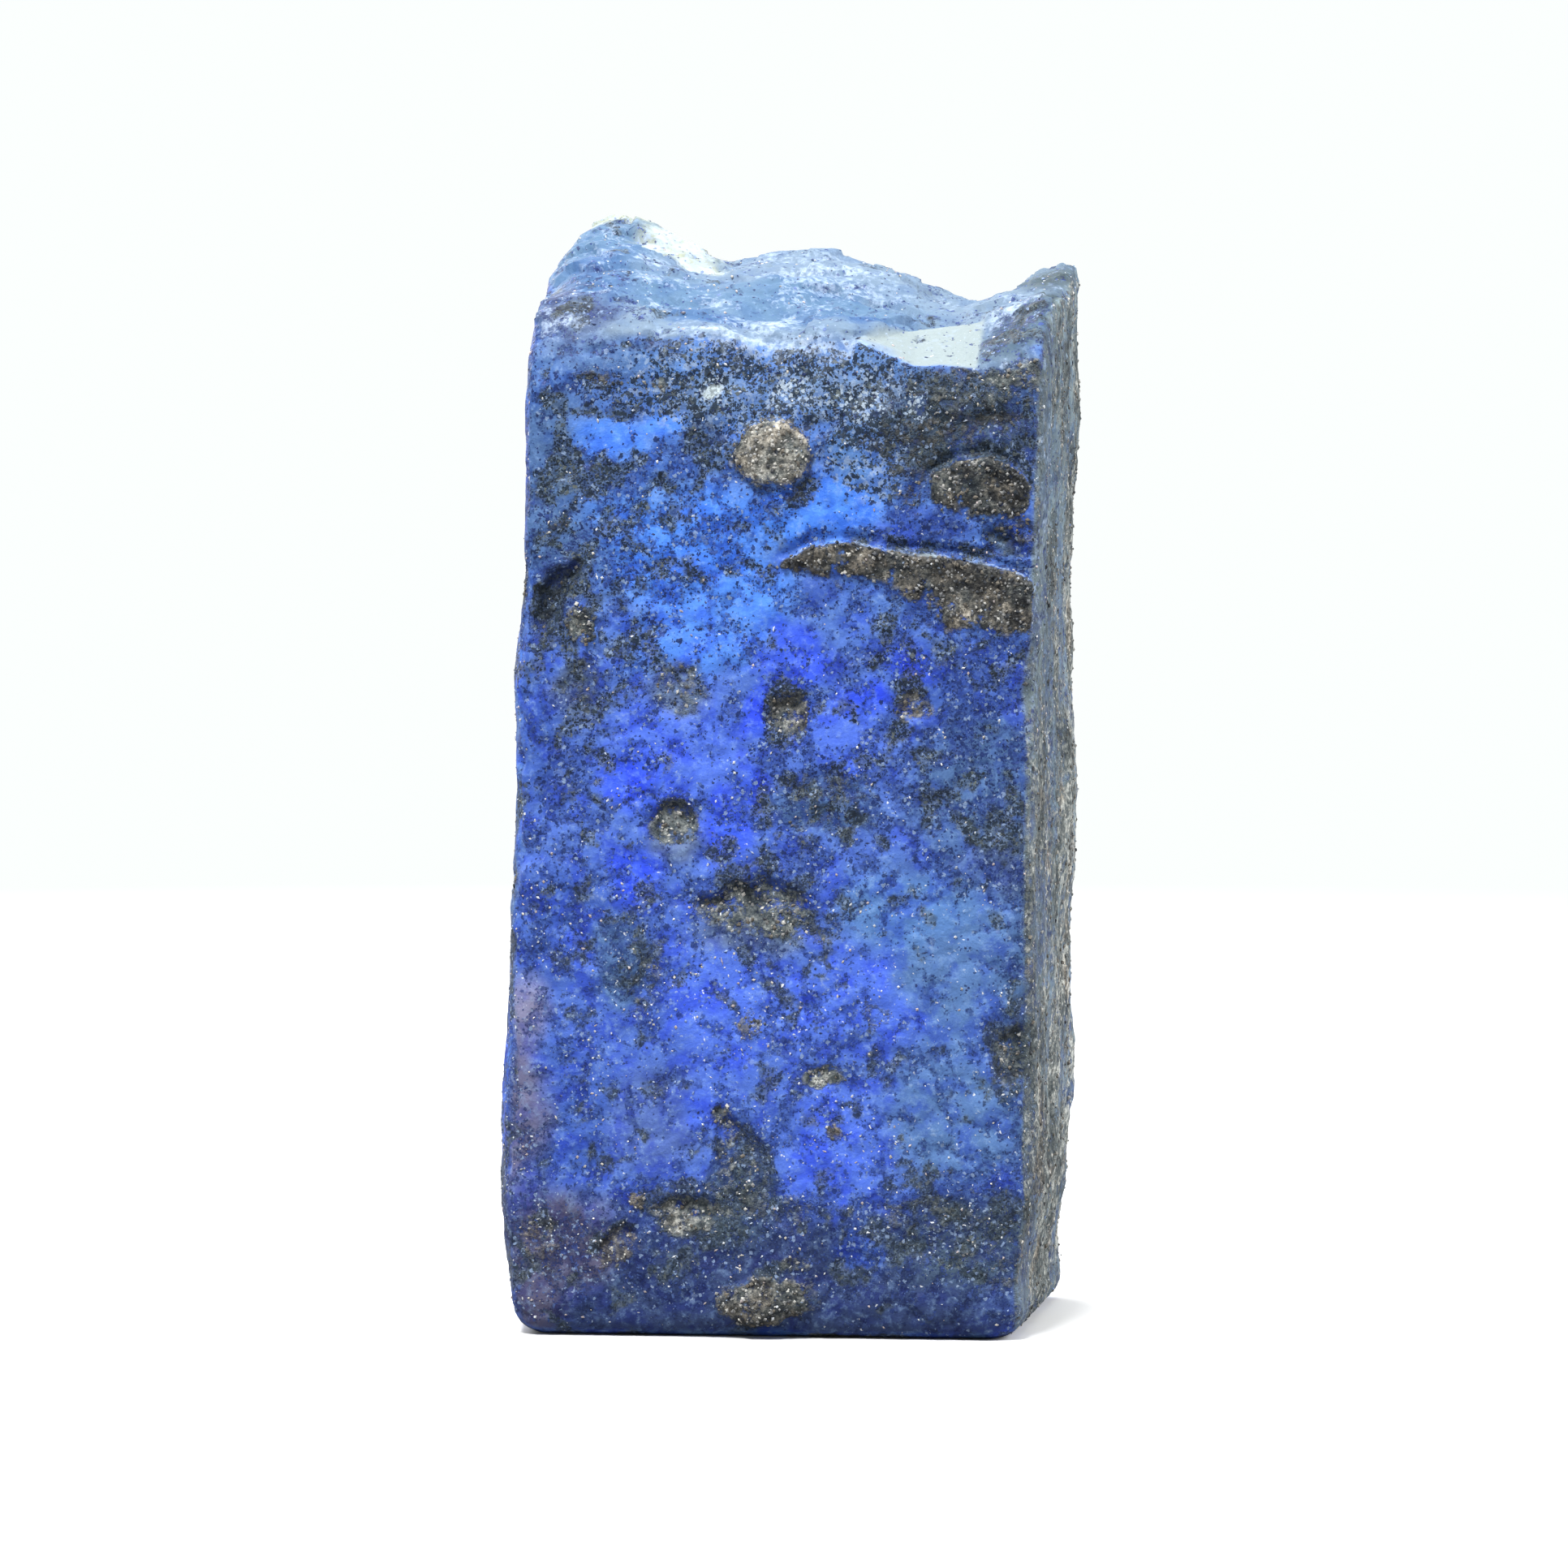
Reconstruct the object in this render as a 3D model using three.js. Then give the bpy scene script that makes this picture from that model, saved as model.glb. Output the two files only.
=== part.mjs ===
// A rough block of opaque blue stone, sawn on its four walls and its foot and broken across the top.
// Millimetres, +Z up. The front face looks along -Y and the right side along +X.
// The origin is the middle of the foot, on the surface that the stone stands on.
import * as THREE from "three";
import { mergeVertices } from "three/addons/utils/BufferGeometryUtils.js";

// Driving dimensions.
const blockDepth = 19; // front to back
const lipHeight = 50; // where the front wall gives way to the broken top
const footRound = { rise: 2, inset: 1.05 }; // worn edge round the foot
const lipRound = { rise: 0.5, inset: 0.35 };
const cornerRound = 0.9; // upright edges
const stretchFrom = 38; // above this, the walls are drawn out to meet the broken top
const topSteepness = 0.62; // below 1, the top climbs fastest just behind the lip

// How finely the block is divided, and how far the points stray from an even grid, in cells.
const cells = { across: 26, deep: 17, up: 41, footRound: 4, stray: 0.26 };

const { clamp, lerp, smoothstep, degToRad } = THREE.MathUtils;

// ---- Outlines -----------------------------------------------------------------------------------

// The four upright edges, as [z, x] from the foot up.
const frontLeft = [[0, -13.3], [6, -13.75], [12, -13.85], [27, -13.2], [36, -12.9], [50, -12.3]];
const frontRight = [[0, 13.2], [7, 13.7], [27, 13.8], [36, 13.95], [50, 14.4]];
const backLeft = [[0, -14.1], [12, -14.7], [27, -14.2], [36, -13.7], [50, -12.75]];
const backRight = [[0, 14.5], [8, 14.9], [22, 14.9], [28, 15.2], [38, 14.8], [50, 15.2]];

// Height of the broken top along its front and back edges, as [x, z] from left to right.
const frontLip = [
  [-12.4, 50.5], [-8.8, 50.8], [-5.8, 50.8], [-3.4, 51.1], [-1.1, 50.6], [1.5, 50.3],
  [4.6, 50.7], [6.1, 50.5], [8.6, 49.6], [11.2, 49.1], [13.0, 49.4], [14.3, 49.9],
];
const backRidge = [
  [-13.2, 55.2], [-12.4, 56.4], [-11.2, 57.8], [-9.6, 58.3], [-7.6, 57.5], [-4.2, 55.6],
  [-1.0, 56.1], [1.0, 56.3], [3.8, 55.7], [6.6, 54.7], [8.8, 54.0], [10.6, 54.1],
  [12.4, 54.6], [13.9, 55.3], [15.1, 55.4],
];

// Value of an outline at a place along it, straight between its points.
function along(outline, place) {
  const next = outline.findIndex((point) => point[0] > place);
  if (next === 0) return outline[0][1];
  if (next < 0) return outline[outline.length - 1][1];
  const [start, low] = outline[next - 1];
  const [end, high] = outline[next];
  return lerp(low, high, (place - start) / (end - start));
}

// ---- Noise --------------------------------------------------------------------------------------

// A fixed number from -1 to 1 for each point of a whole-number lattice.
function latticeValue(i, j, k, seed) {
  const s = Math.sin(i * 127.1 + j * 311.7 + k * 74.7 + seed * 53.3) * 43758.5453;
  return 2 * (s - Math.floor(s)) - 1;
}

// Smooth noise from -1 to 1, with one swell about every `size` millimetres.
function swell(point, size, seed) {
  const p = [point.x / size, point.y / size, point.z / size];
  const low = p.map(Math.floor);
  const mix = p.map((value, n) => smoothstep(value - low[n], 0, 1));
  let sum = 0;
  for (let corner = 0; corner < 8; corner++) {
    const bit = [corner & 1, (corner >> 1) & 1, corner >> 2];
    const weight = bit.reduce((w, b, n) => w * (b ? mix[n] : 1 - mix[n]), 1);
    sum += weight * latticeValue(low[0] + bit[0], low[1] + bit[1], low[2] + bit[2], seed);
  }
  return sum;
}

// Noise folded into sharp crests and flat-sided hollows, as a broken stone has.
function crests(point, size, seed) {
  return 1 - 2 * Math.abs(swell(point, size, seed));
}

// ---- Relief -------------------------------------------------------------------------------------

// Lumps and pits on the sawn walls. `at` is across the wall and up it, `size` is the half axes, `turn`
// is in degrees, and `lift` is how far the middle stands out, or sinks where it is negative. A `ledge`
// stands out sharply along its upper edge and dies away downwards.
const marks = {
  front: [
    { name: "tan knob", at: [0.2, 45.7], size: [2.2, 1.9], turn: 0, lift: 0.6 },
    { name: "hollow under the knob", at: [0.6, 43.6], size: [1.5, 0.8], turn: 0, lift: -0.35 },
    { name: "hooded lump", at: [11.2, 43.5], size: [2.9, 2.3], turn: -8, lift: 0.7, ledge: true },
    { name: "lens ledge", at: [9.0, 38.6], size: [6.2, 2.1], turn: -11, lift: 0.9, ledge: true },
    { name: "lens tip", at: [3.2, 40.2], size: [3.1, 1.0], turn: -4, lift: 0.5, ledge: true },
    { name: "groove over the ledge", at: [12.3, 40.7], size: [2.0, 0.9], turn: -32, lift: -0.45 },
    { name: "left slot", at: [-10.3, 38.6], size: [1.0, 2.3], turn: -22, lift: -0.6 },
    { name: "left blob", at: [-9.7, 36.8], size: [1.1, 1.2], turn: 0, lift: 0.3 },
    { name: "dark dimple", at: [1.0, 32.3], size: [1.2, 1.7], turn: 10, lift: -0.5 },
    { name: "round pit", at: [-4.8, 26.5], size: [1.3, 1.3], turn: 0, lift: -0.65 },
    { name: "broad hollow", at: [-0.8, 22.3], size: [3.1, 1.3], turn: 6, lift: -0.6 },
    { name: "right hollow", at: [12.2, 14.6], size: [1.2, 2.0], turn: 0, lift: -0.6 },
    { name: "small pit", at: [3.1, 13.6], size: [1.1, 0.9], turn: 0, lift: -0.4 },
    { name: "foot valley", at: [-1.8, 8.4], size: [1.9, 2.8], turn: 8, lift: -0.45 },
    { name: "foot pit", at: [-4.3, 6.3], size: [1.7, 1.2], turn: 10, lift: -0.5 },
    { name: "foot side pit", at: [-7.9, 4.8], size: [1.6, 1.1], turn: 20, lift: -0.45 },
    { name: "foot lump", at: [-0.4, 2.2], size: [2.9, 1.5], turn: 0, lift: 0.4 },
  ],
  right: [
    { name: "upper chip", at: [-3.5, 44.0], size: [1.6, 4.5], turn: 8, lift: -0.45 },
    { name: "middle rib", at: [2.0, 28.0], size: [2.2, 5.5], turn: -6, lift: 0.35 },
    { name: "lower channel", at: [-1.5, 12.5], size: [1.2, 6.5], turn: 4, lift: -0.5 },
    { name: "corner spall", at: [6.6, 9.0], size: [2.2, 3.6], turn: 18, lift: -0.6 },
  ],
  left: [
    { name: "saw step", at: [1.5, 33.0], size: [6.5, 5.0], turn: 12, lift: 0.4, ledge: true },
    { name: "hollow", at: [-3.0, 17.5], size: [2.6, 3.4], turn: -15, lift: -0.6 },
    { name: "back spall", at: [-6.4, 45.0], size: [2.0, 4.2], turn: 10, lift: -0.6 },
    { name: "foot chip", at: [4.5, 6.5], size: [2.4, 2.0], turn: 25, lift: -0.45 },
  ],
  back: [
    { name: "long ledge", at: [-3.0, 36.5], size: [8.6, 4.2], turn: 14, lift: 0.7, ledge: true },
    { name: "upper spall", at: [7.5, 47.0], size: [4.2, 3.2], turn: -20, lift: -0.8 },
    { name: "middle swelling", at: [5.2, 25.5], size: [4.6, 2.4], turn: 35, lift: 0.55 },
    { name: "deep hollow", at: [-6.5, 18.0], size: [4.2, 2.2], turn: -28, lift: -0.8 },
    { name: "foot ledge", at: [3.0, 9.0], size: [7.0, 2.8], turn: -6, lift: 0.55, ledge: true },
  ],
};
const markEdgeRagged = { far: 0.55, size: 1.7 }; // how far a mark's outline wanders
const markStopsShort = [0.2, 1.5]; // distance from an upright edge over which marks grow

// Each wall's outward direction, and the direction that runs to the right across it as seen from outside.
const walls = {
  front: { out: new THREE.Vector3(0, -1, 0), across: new THREE.Vector3(1, 0, 0) },
  right: { out: new THREE.Vector3(1, 0, 0), across: new THREE.Vector3(0, 1, 0) },
  back: { out: new THREE.Vector3(0, 1, 0), across: new THREE.Vector3(-1, 0, 0) },
  left: { out: new THREE.Vector3(-1, 0, 0), across: new THREE.Vector3(0, -1, 0) },
};

// How far one mark moves a point of its wall, outwards.
function markLift(mark, u, v) {
  const turn = degToRad(mark.turn);
  const du = u - mark.at[0];
  const dv = v - mark.at[1];
  const a = (du * Math.cos(turn) + dv * Math.sin(turn)) / mark.size[0];
  const b = (dv * Math.cos(turn) - du * Math.sin(turn)) / mark.size[1];
  const r = Math.hypot(a, b);
  if (!mark.ledge) return mark.lift * (1 - smoothstep(r, 0.45, 1.15));
  const upperEdge = 1 - smoothstep(r, 0.65, 1.1);
  const fade = smoothstep(b, -1, 0.75);
  return mark.lift * upperEdge * fade;
}

// Distance of a point from the nearest upright edge of the block.
function fromUprightEdge(point) {
  const fromFrontOrBack = blockDepth / 2 - Math.abs(point.y);
  const fromSides = point.x < 0 ? point.x - leftSide(point) : rightSide(point) - point.x;
  return Math.max(fromFrontOrBack, fromSides);
}

// Outward relief of the stone at a point, given the outward normal there.
function relief(point, normal) {
  let lift = 0;
  const wander = markEdgeRagged.far;
  const grow = smoothstep(fromUprightEdge(point), ...markStopsShort);
  for (const [name, wall] of Object.entries(walls)) {
    const facing = smoothstep(normal.dot(wall.out), 0.6, 0.9) * grow;
    if (facing === 0) continue;
    const u = point.dot(wall.across) + wander * swell(point, markEdgeRagged.size, 11);
    const v = point.z + wander * swell(point, markEdgeRagged.size, 12);
    for (const mark of marks[name]) lift += facing * markLift(mark, u, v);
  }
  const broken = smoothstep(normal.z, 0.3, 0.8);
  const streaked = point.clone();
  streaked.z /= 3.5; // the side walls are drawn out upwards, along the saw
  const onSides = smoothstep(Math.abs(normal.x), 0.5, 0.9);
  lift += 0.14 * swell(point, 4.2, 1) + 0.08 * swell(point, 1.9, 2);
  lift += onSides * 0.2 * swell(streaked, 1.7, 3);
  lift += broken * (0.5 * crests(point, 5.2, 4) + 0.35 * crests(point, 2.3, 5));
  return lift * smoothstep(point.z, 0, footRound.rise); // the foot stays flat
}

// ---- The block ----------------------------------------------------------------------------------

// How far back a point lies, from 0 at the front wall to 1 at the back wall.
function depthOf(y) {
  return clamp((y + blockDepth / 2) / blockDepth, 0, 1);
}

function leftSide({ y, z }) {
  return lerp(along(frontLeft, z), along(backLeft, z), depthOf(y));
}

function rightSide({ y, z }) {
  return lerp(along(frontRight, z), along(backRight, z), depthOf(y));
}

// Height of each row of points up the walls, and how far the outline draws in there.
function wallRows() {
  const rows = [];
  for (let n = 0; n < cells.footRound; n++) {
    const angle = (n / cells.footRound) * (Math.PI / 2);
    rows.push({
      z: footRound.rise * (1 - Math.cos(angle)),
      inset: footRound.inset * (1 - Math.sin(angle)),
    });
  }
  for (let n = 0; n <= cells.up; n++) {
    rows.push({ z: lerp(footRound.rise, lipHeight - lipRound.rise, n / cells.up), inset: 0 });
  }
  rows.push({ z: lipHeight, inset: lipRound.inset });
  return rows;
}

// A point of the unit square, rounded at the corners of a rectangle of these half sizes.
function roundedSquare(a, b, halfWidth, halfDepth, radius) {
  const x = a * halfWidth;
  const y = b * halfDepth;
  const innerX = clamp(x, radius - halfWidth, halfWidth - radius);
  const innerY = clamp(y, radius - halfDepth, halfDepth - radius);
  const dx = x - innerX;
  const dy = y - innerY;
  if (dx === 0 || dy === 0) return [x, y];
  const reach = Math.max(Math.abs(dx), Math.abs(dy)) / Math.hypot(dx, dy);
  return [innerX + dx * reach, innerY + dy * reach];
}

// A chip stands up behind the right end of the lip, with a sharp left end.
const cornerChip = { leftEnd: [9.4, 11.2], frontSlope: [0.0, 0.25], backSlope: [0.3, 0.8], lift: 1.3 };

// Height of the broken top over a point of the plan.
function topHeight(x, y) {
  const back = depthOf(y);
  const chip = smoothstep(x, ...cornerChip.leftEnd) * smoothstep(back, ...cornerChip.frontSlope);
  const chipFades = 1 - smoothstep(back, ...cornerChip.backSlope);
  const climb = lerp(along(frontLip, x), along(backRidge, x), Math.pow(back, topSteepness));
  return climb + cornerChip.lift * chip * chipFades;
}

// Moves a grid coordinate a little way off its place, unless it lies on an edge of the block.
function astray(value, cellSize, seed, ...where) {
  if (Math.abs(value) > 1 - cellSize / 2) return value;
  return value + cells.stray * cellSize * latticeValue(...where, seed);
}

// A point of the box grid, moved to its place on the stone before relief.
function placed(gridA, gridB, row) {
  const where = [Math.round(gridA * 100), Math.round(gridB * 100), Math.round(row.z * 10)];
  const a = astray(gridA, 2 / cells.across, 21, ...where);
  const b = astray(gridB, 2 / cells.deep, 22, ...where);
  const onWall = row.inset === 0 && row.z > footRound.rise && row.z < lipHeight - 1;
  const z = onWall ? row.z + (cells.stray * lipHeight * latticeValue(...where, 23)) / cells.up : row.z;
  const edgeWear = cornerRound * (1 + 0.55 * swell(new THREE.Vector3(a * 9, b * 9, z), 3.1, 6));
  const y = (b * blockDepth) / 2;
  const left = leftSide({ y, z });
  const right = rightSide({ y, z });
  const halfWidth = (right - left) / 2 - row.inset;
  const halfDepth = blockDepth / 2 - row.inset;
  const [fromMiddle, roundedY] = roundedSquare(a, b, halfWidth, halfDepth, edgeWear);
  const x = (left + right) / 2 + fromMiddle;
  const stretched = smoothstep(z, stretchFrom, lipHeight);
  return new THREE.Vector3(x, roundedY, z + stretched * (topHeight(x, roundedY) - lipHeight));
}

function blockGeometry() {
  const rows = wallRows();
  const box = new THREE.BoxGeometry(2, 2, 2, cells.across, cells.deep, rows.length - 1);
  box.deleteAttribute("normal");
  box.deleteAttribute("uv");
  const grid = mergeVertices(box, 1e-4);
  const points = grid.getAttribute("position");
  const at = (n) => new THREE.Vector3().fromBufferAttribute(points, n);
  for (let n = 0; n < points.count; n++) {
    const { x, y, z } = at(n);
    const row = rows[Math.round(((z + 1) / 2) * (rows.length - 1))];
    points.setXYZ(n, ...placed(x, y, row));
  }
  grid.computeVertexNormals();
  const normals = grid.getAttribute("normal");
  for (let n = 0; n < points.count; n++) {
    const point = at(n);
    const normal = new THREE.Vector3().fromBufferAttribute(normals, n);
    const shift = normal.clone().multiplyScalar(relief(point, normal));
    points.setXYZ(n, ...point.add(shift));
  }
  grid.deleteAttribute("normal");
  return grid;
}

// Moves the middle of the foot to the origin.
function centred(geometry) {
  geometry.computeBoundingBox();
  const { min, max } = geometry.boundingBox;
  return geometry.translate(-(min.x + max.x) / 2, -(min.y + max.y) / 2, -min.z);
}

const stoneBlue = new THREE.MeshStandardMaterial({
  color: 0x2f4fb4,
  roughness: 0.72,
  metalness: 0,
  flatShading: true,
});

const stone = new THREE.Mesh(centred(blockGeometry()), stoneBlue);
stone.name = "stone";

const part = new THREE.Group();
part.name = "rough_stone";
part.add(stone);

export default part;
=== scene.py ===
# A rough block of opaque blue stone: sawn walls, a flat foot and a broken top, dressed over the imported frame.
import bpy
import math
from itertools import product
import numpy as np
from mathutils import Euler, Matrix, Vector


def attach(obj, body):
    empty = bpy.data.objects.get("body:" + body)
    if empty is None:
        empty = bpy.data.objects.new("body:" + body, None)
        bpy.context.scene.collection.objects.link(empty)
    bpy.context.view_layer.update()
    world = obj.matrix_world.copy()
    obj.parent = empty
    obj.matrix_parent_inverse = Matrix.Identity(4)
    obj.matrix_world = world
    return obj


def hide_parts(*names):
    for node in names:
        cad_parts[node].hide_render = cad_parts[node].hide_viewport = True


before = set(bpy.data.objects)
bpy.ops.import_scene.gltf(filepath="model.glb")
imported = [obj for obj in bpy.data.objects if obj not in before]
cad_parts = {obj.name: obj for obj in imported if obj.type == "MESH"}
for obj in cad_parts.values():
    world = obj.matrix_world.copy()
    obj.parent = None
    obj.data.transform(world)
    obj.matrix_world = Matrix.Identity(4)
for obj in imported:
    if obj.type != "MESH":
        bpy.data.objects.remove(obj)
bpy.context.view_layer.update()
mm = 0.001
print("frame loaded")

view = {
    "azimuth": 5.5, "elevation": 3.0,       # degrees: the right wall shows as a narrow strip
    "distance": 0.340,
    "target": (-0.0003, 0.0001, 0.0282),
    "pixelsPerMm": 24.0,                    # on the front wall, in a frame of 1932 pixels
    "frameWidth": 1932,
    "frontWall": 0.0095,                    # how far the front wall is in front of the target
}
light = {
    "backdrop": 1.0,                        # what the camera sees behind the block
    "backdropTint": (0.97, 1.0, 0.99, 1),
    "world": 0.34,                          # what the walls get from it
    "overhead": {"place": (-0.04, 0.05, 0.42), "size": 0.36, "power": 1.2},
    "front": {"place": (-0.07, -0.24, 0.40), "size": 0.12, "power": 2.8},
    "right": {"place": (0.36, 0.10, 0.20), "size": 0.30, "power": 1.7},
    "behind": {"place": (-0.26, 0.30, 0.22), "size": 0.30, "power": 1.5},
    "floor": 0.9, "floorBounce": 0.3,       # how white the paper looks, and how much it throws back
    "floorRadius": 0.9,
    "floorFade": (0.10, 0.34),              # where the paper ends softly in the backdrop, in metres
    "floorRoughness": 0.9,
    "level": 1.12,                          # how bright a white wall looks in it
}


def makeCamera():
    azimuth = math.radians(view["azimuth"])
    elevation = math.radians(view["elevation"])
    back = Vector((math.sin(azimuth) * math.cos(elevation),
                   -math.cos(azimuth) * math.cos(elevation),
                   math.sin(elevation)))
    bpy.ops.object.camera_add(location=Vector(view["target"]) + back * view["distance"])
    camera = bpy.context.object
    camera.name = "camera"
    camera.rotation_euler = back.to_track_quat("Z", "Y").to_euler()
    sharpDistance = view["distance"] - view["frontWall"]
    focalPixels = view["pixelsPerMm"] / mm * sharpDistance
    camera.data.lens = camera.data.sensor_width * focalPixels / view["frameWidth"]
    camera.data.clip_start = 0.01
    bpy.context.scene.camera = camera


def makeLamp(name, values):
    bpy.ops.object.light_add(type="AREA", location=values["place"])
    lamp = bpy.context.object
    lamp.name = name
    lamp.data.size = values["size"]
    lamp.data.energy = values["power"]
    aim = Vector(view["target"]) - lamp.location
    lamp.rotation_euler = aim.to_track_quat("-Z", "Y").to_euler()


def makeStudio():
    world = bpy.data.worlds.new("studio")
    world.use_nodes = True
    n = Nodes(world.node_tree)
    background = world.node_tree.nodes["Background"]
    background.inputs["Color"].default_value = light["backdropTint"]
    n.put(background.inputs["Strength"], n.seen(light["backdrop"], light["world"]))
    bpy.context.scene.world = world
    for name in ("overhead", "front", "right", "behind"):
        makeLamp(name, light[name])
    bpy.ops.mesh.primitive_circle_add(vertices=96, radius=light["floorRadius"], fill_type="NGON")
    floor = bpy.context.object
    floor.name = "floor"
    paper, n, shader = startMaterial("floorPaper")
    shader.inputs["Roughness"].default_value = light["floorRoughness"]
    n.put(shader.inputs["Base Color"], n.seen(light["floor"], light["floorBounce"]))
    place = n.add("ShaderNodeTexCoord").outputs["Object"]
    reach = n.add("ShaderNodeVectorMath", (0, place), operation="LENGTH").outputs["Value"]
    near, far = light["floorFade"]
    fade = n.add("ShaderNodeMapRange", ("Value", reach), ("From Min", near), ("From Max", far),
                 ("To Min", 1.0), ("To Max", 0.0))
    n.put(shader.inputs["Alpha"], fade.outputs["Result"])
    floor.data.materials.append(paper)
    bpy.context.scene.view_settings.view_transform = "Standard"
    print("studio made")


# Noise, all of it over points in millimetres.
def latticeValue(i, j, k, seed):  # -1 to 1, fixed for each point of a whole-number lattice
    s = np.sin(i * 127.1 + j * 311.7 + k * 74.7 + seed * 53.3) * 43758.5453
    return 2 * (s - np.floor(s)) - 1


def smoothstep(x, low, high):
    t = np.clip((x - low) / (high - low), 0, 1)
    return t * t * (3 - 2 * t)


def swell(points, size, seed):  # smooth noise, -1 to 1
    p = points / size
    low = np.floor(p)
    t = smoothstep(p - low, 0, 1)
    total = np.zeros(len(p))
    for bits in product((0, 1), repeat=3):
        weight = np.prod(np.where(bits, t, 1 - t), axis=1)
        total += weight * latticeValue(*(low + bits).T, seed)
    return total


turnedAxes = np.array(Euler((0.5, 0.6, 0.7)).to_matrix())  # keeps a pattern's cells off the walls' own lines


def rough(points, size, seed, octaves=3):  # swells on swells, each half the size of the last
    total = np.zeros(len(points))
    for n in range(octaves):
        total += swell(points, size / 2 ** n, seed + 7 * n) / 2 ** n
    return total


def cells(points, size, seed):  # distance to the nearest seed point, to the border, a facet's tilt, a tone
    p = points / size
    low = np.floor(p)
    near = np.full(len(p), 9.0)
    second = near.copy()
    tilt = np.zeros(len(p))
    tone = np.zeros(len(p))
    for offset in product((-1, 0, 1), repeat=3):
        cell = (low + offset).T
        jitter = np.stack([latticeValue(*cell, seed + n) for n in (1, 2, 3)], axis=1)
        away = p - (low + offset + 0.5 + 0.42 * jitter)
        distance = np.linalg.norm(away, axis=1)
        closer = distance < near
        second = np.where(closer, near, np.minimum(second, distance))
        tilt = np.where(closer, np.sum(away * jitter[:, ::-1], axis=1), tilt)
        tone = np.where(closer, latticeValue(*cell, seed + 4), tone)
        near = np.minimum(near, distance)
    return near, second - near, tilt, tone


block = {
    "voxel": 0.385,            # mm; the front and the top are then halved once more
    "smoothing": 9, "smoothingAfter": 3,
    "weld": 0.002,             # mm: corners of the solid closer than this are one
    "mapGap": 0.8,             # mm between the views of its baking map
    "frontWallY": -9.41,       # mm: the saw's plane, before relief
    "planedFrom": 1.2,         # mm: the front wall is planed from just above the foot
    "planedTo": 49.2,          # mm: up to just under the lip
    "uprightEdge": 1.6,        # mm: left as they are beside the upright edges
    "leftEdge": ((0, 6, 12, 27, 36, 50), (-13.6, -14.0, -14.1, -13.5, -13.2, -12.6)),   # heights, and across
    "rightEdge": ((0, 7, 27, 36, 50), (12.9, 13.4, 13.5, 13.65, 14.1)),
}
relief = {                                          # heights in mm
    "lump": 0.16, "crevice": 0.05,                  # low rounded lumps, on every wall
    "swell": 0.10, "fine": 0.05,
    "hollow": 0.4,                                  # crusted hollows, on all walls but the front
    "grain": 0.11, "grainStep": 0.04, "pinhole": 0.12,
    "streak": 0.08, "fineStreak": 0.05,             # upright, on the side walls
    "facet": 0.32, "facetStep": 0.14, "smallFacet": 0.12, "smallStep": 0.04,    # the broken top
    "groove": 0.25,                                 # above each shelf of the front wall
    "wornFoot": {"depth": 0.4, "from": 9, "to": 13.5, "height": 3.4, "spread": 2.4},
}

# Ground colours as 0-255 screen values.
palette = {
    "sky": (86, 142, 246), "azure": (80, 140, 246), "royal": (82, 117, 230), "ultra": (64, 98, 238),
    "cobalt": (66, 98, 186), "haze": (101, 144, 219), "mist": (132, 164, 228), "steel": (92, 134, 199),
    "steelLow": (90, 126, 184), "denim": (82, 114, 166), "navy": (59, 75, 119), "slate": (80, 100, 126),
    "deepHaze": (82, 127, 214), "fog": (98, 118, 160), "paleSteel": (126, 158, 206), "dusk": (92, 90, 118),
    "lilac": (142, 142, 178), "mauve": (112, 112, 146), "violet": (86, 112, 188), "chalk": (194, 210, 216),
    "ash": (150, 164, 172), "wallBelow": (82, 115, 206), "wallAbove": (88, 128, 204),
    "rightGrey": (116, 131, 144), "smoothGrey": (147, 160, 163),
}


def spot(x, y, wide, tall, turn=0, **looks):  # an ellipse in mm: its middle, its half axes and its turn
    return {"at": (x, y), "size": (wide, tall), "turn": turn, **looks}


def pit(lift, *place, **looks):
    return spot(*place, form="pit", lift=lift, **looks)


def dome(lift, *place, **looks):
    return spot(*place, form="dome", lift=lift, **looks)


def scoop(lift, *place, **looks):  # a pit that is deepest at its upper end
    return spot(*place, form="scoop", lift=lift, **looks)


# Clouds of blue on the other walls: a seed, a ground and how little of it there is.
wallClouds = ((101, "denim", 0.0), (102, "royal", 0.05), (103, "sky", 0.35), (104, "navy", 0.3))

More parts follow.
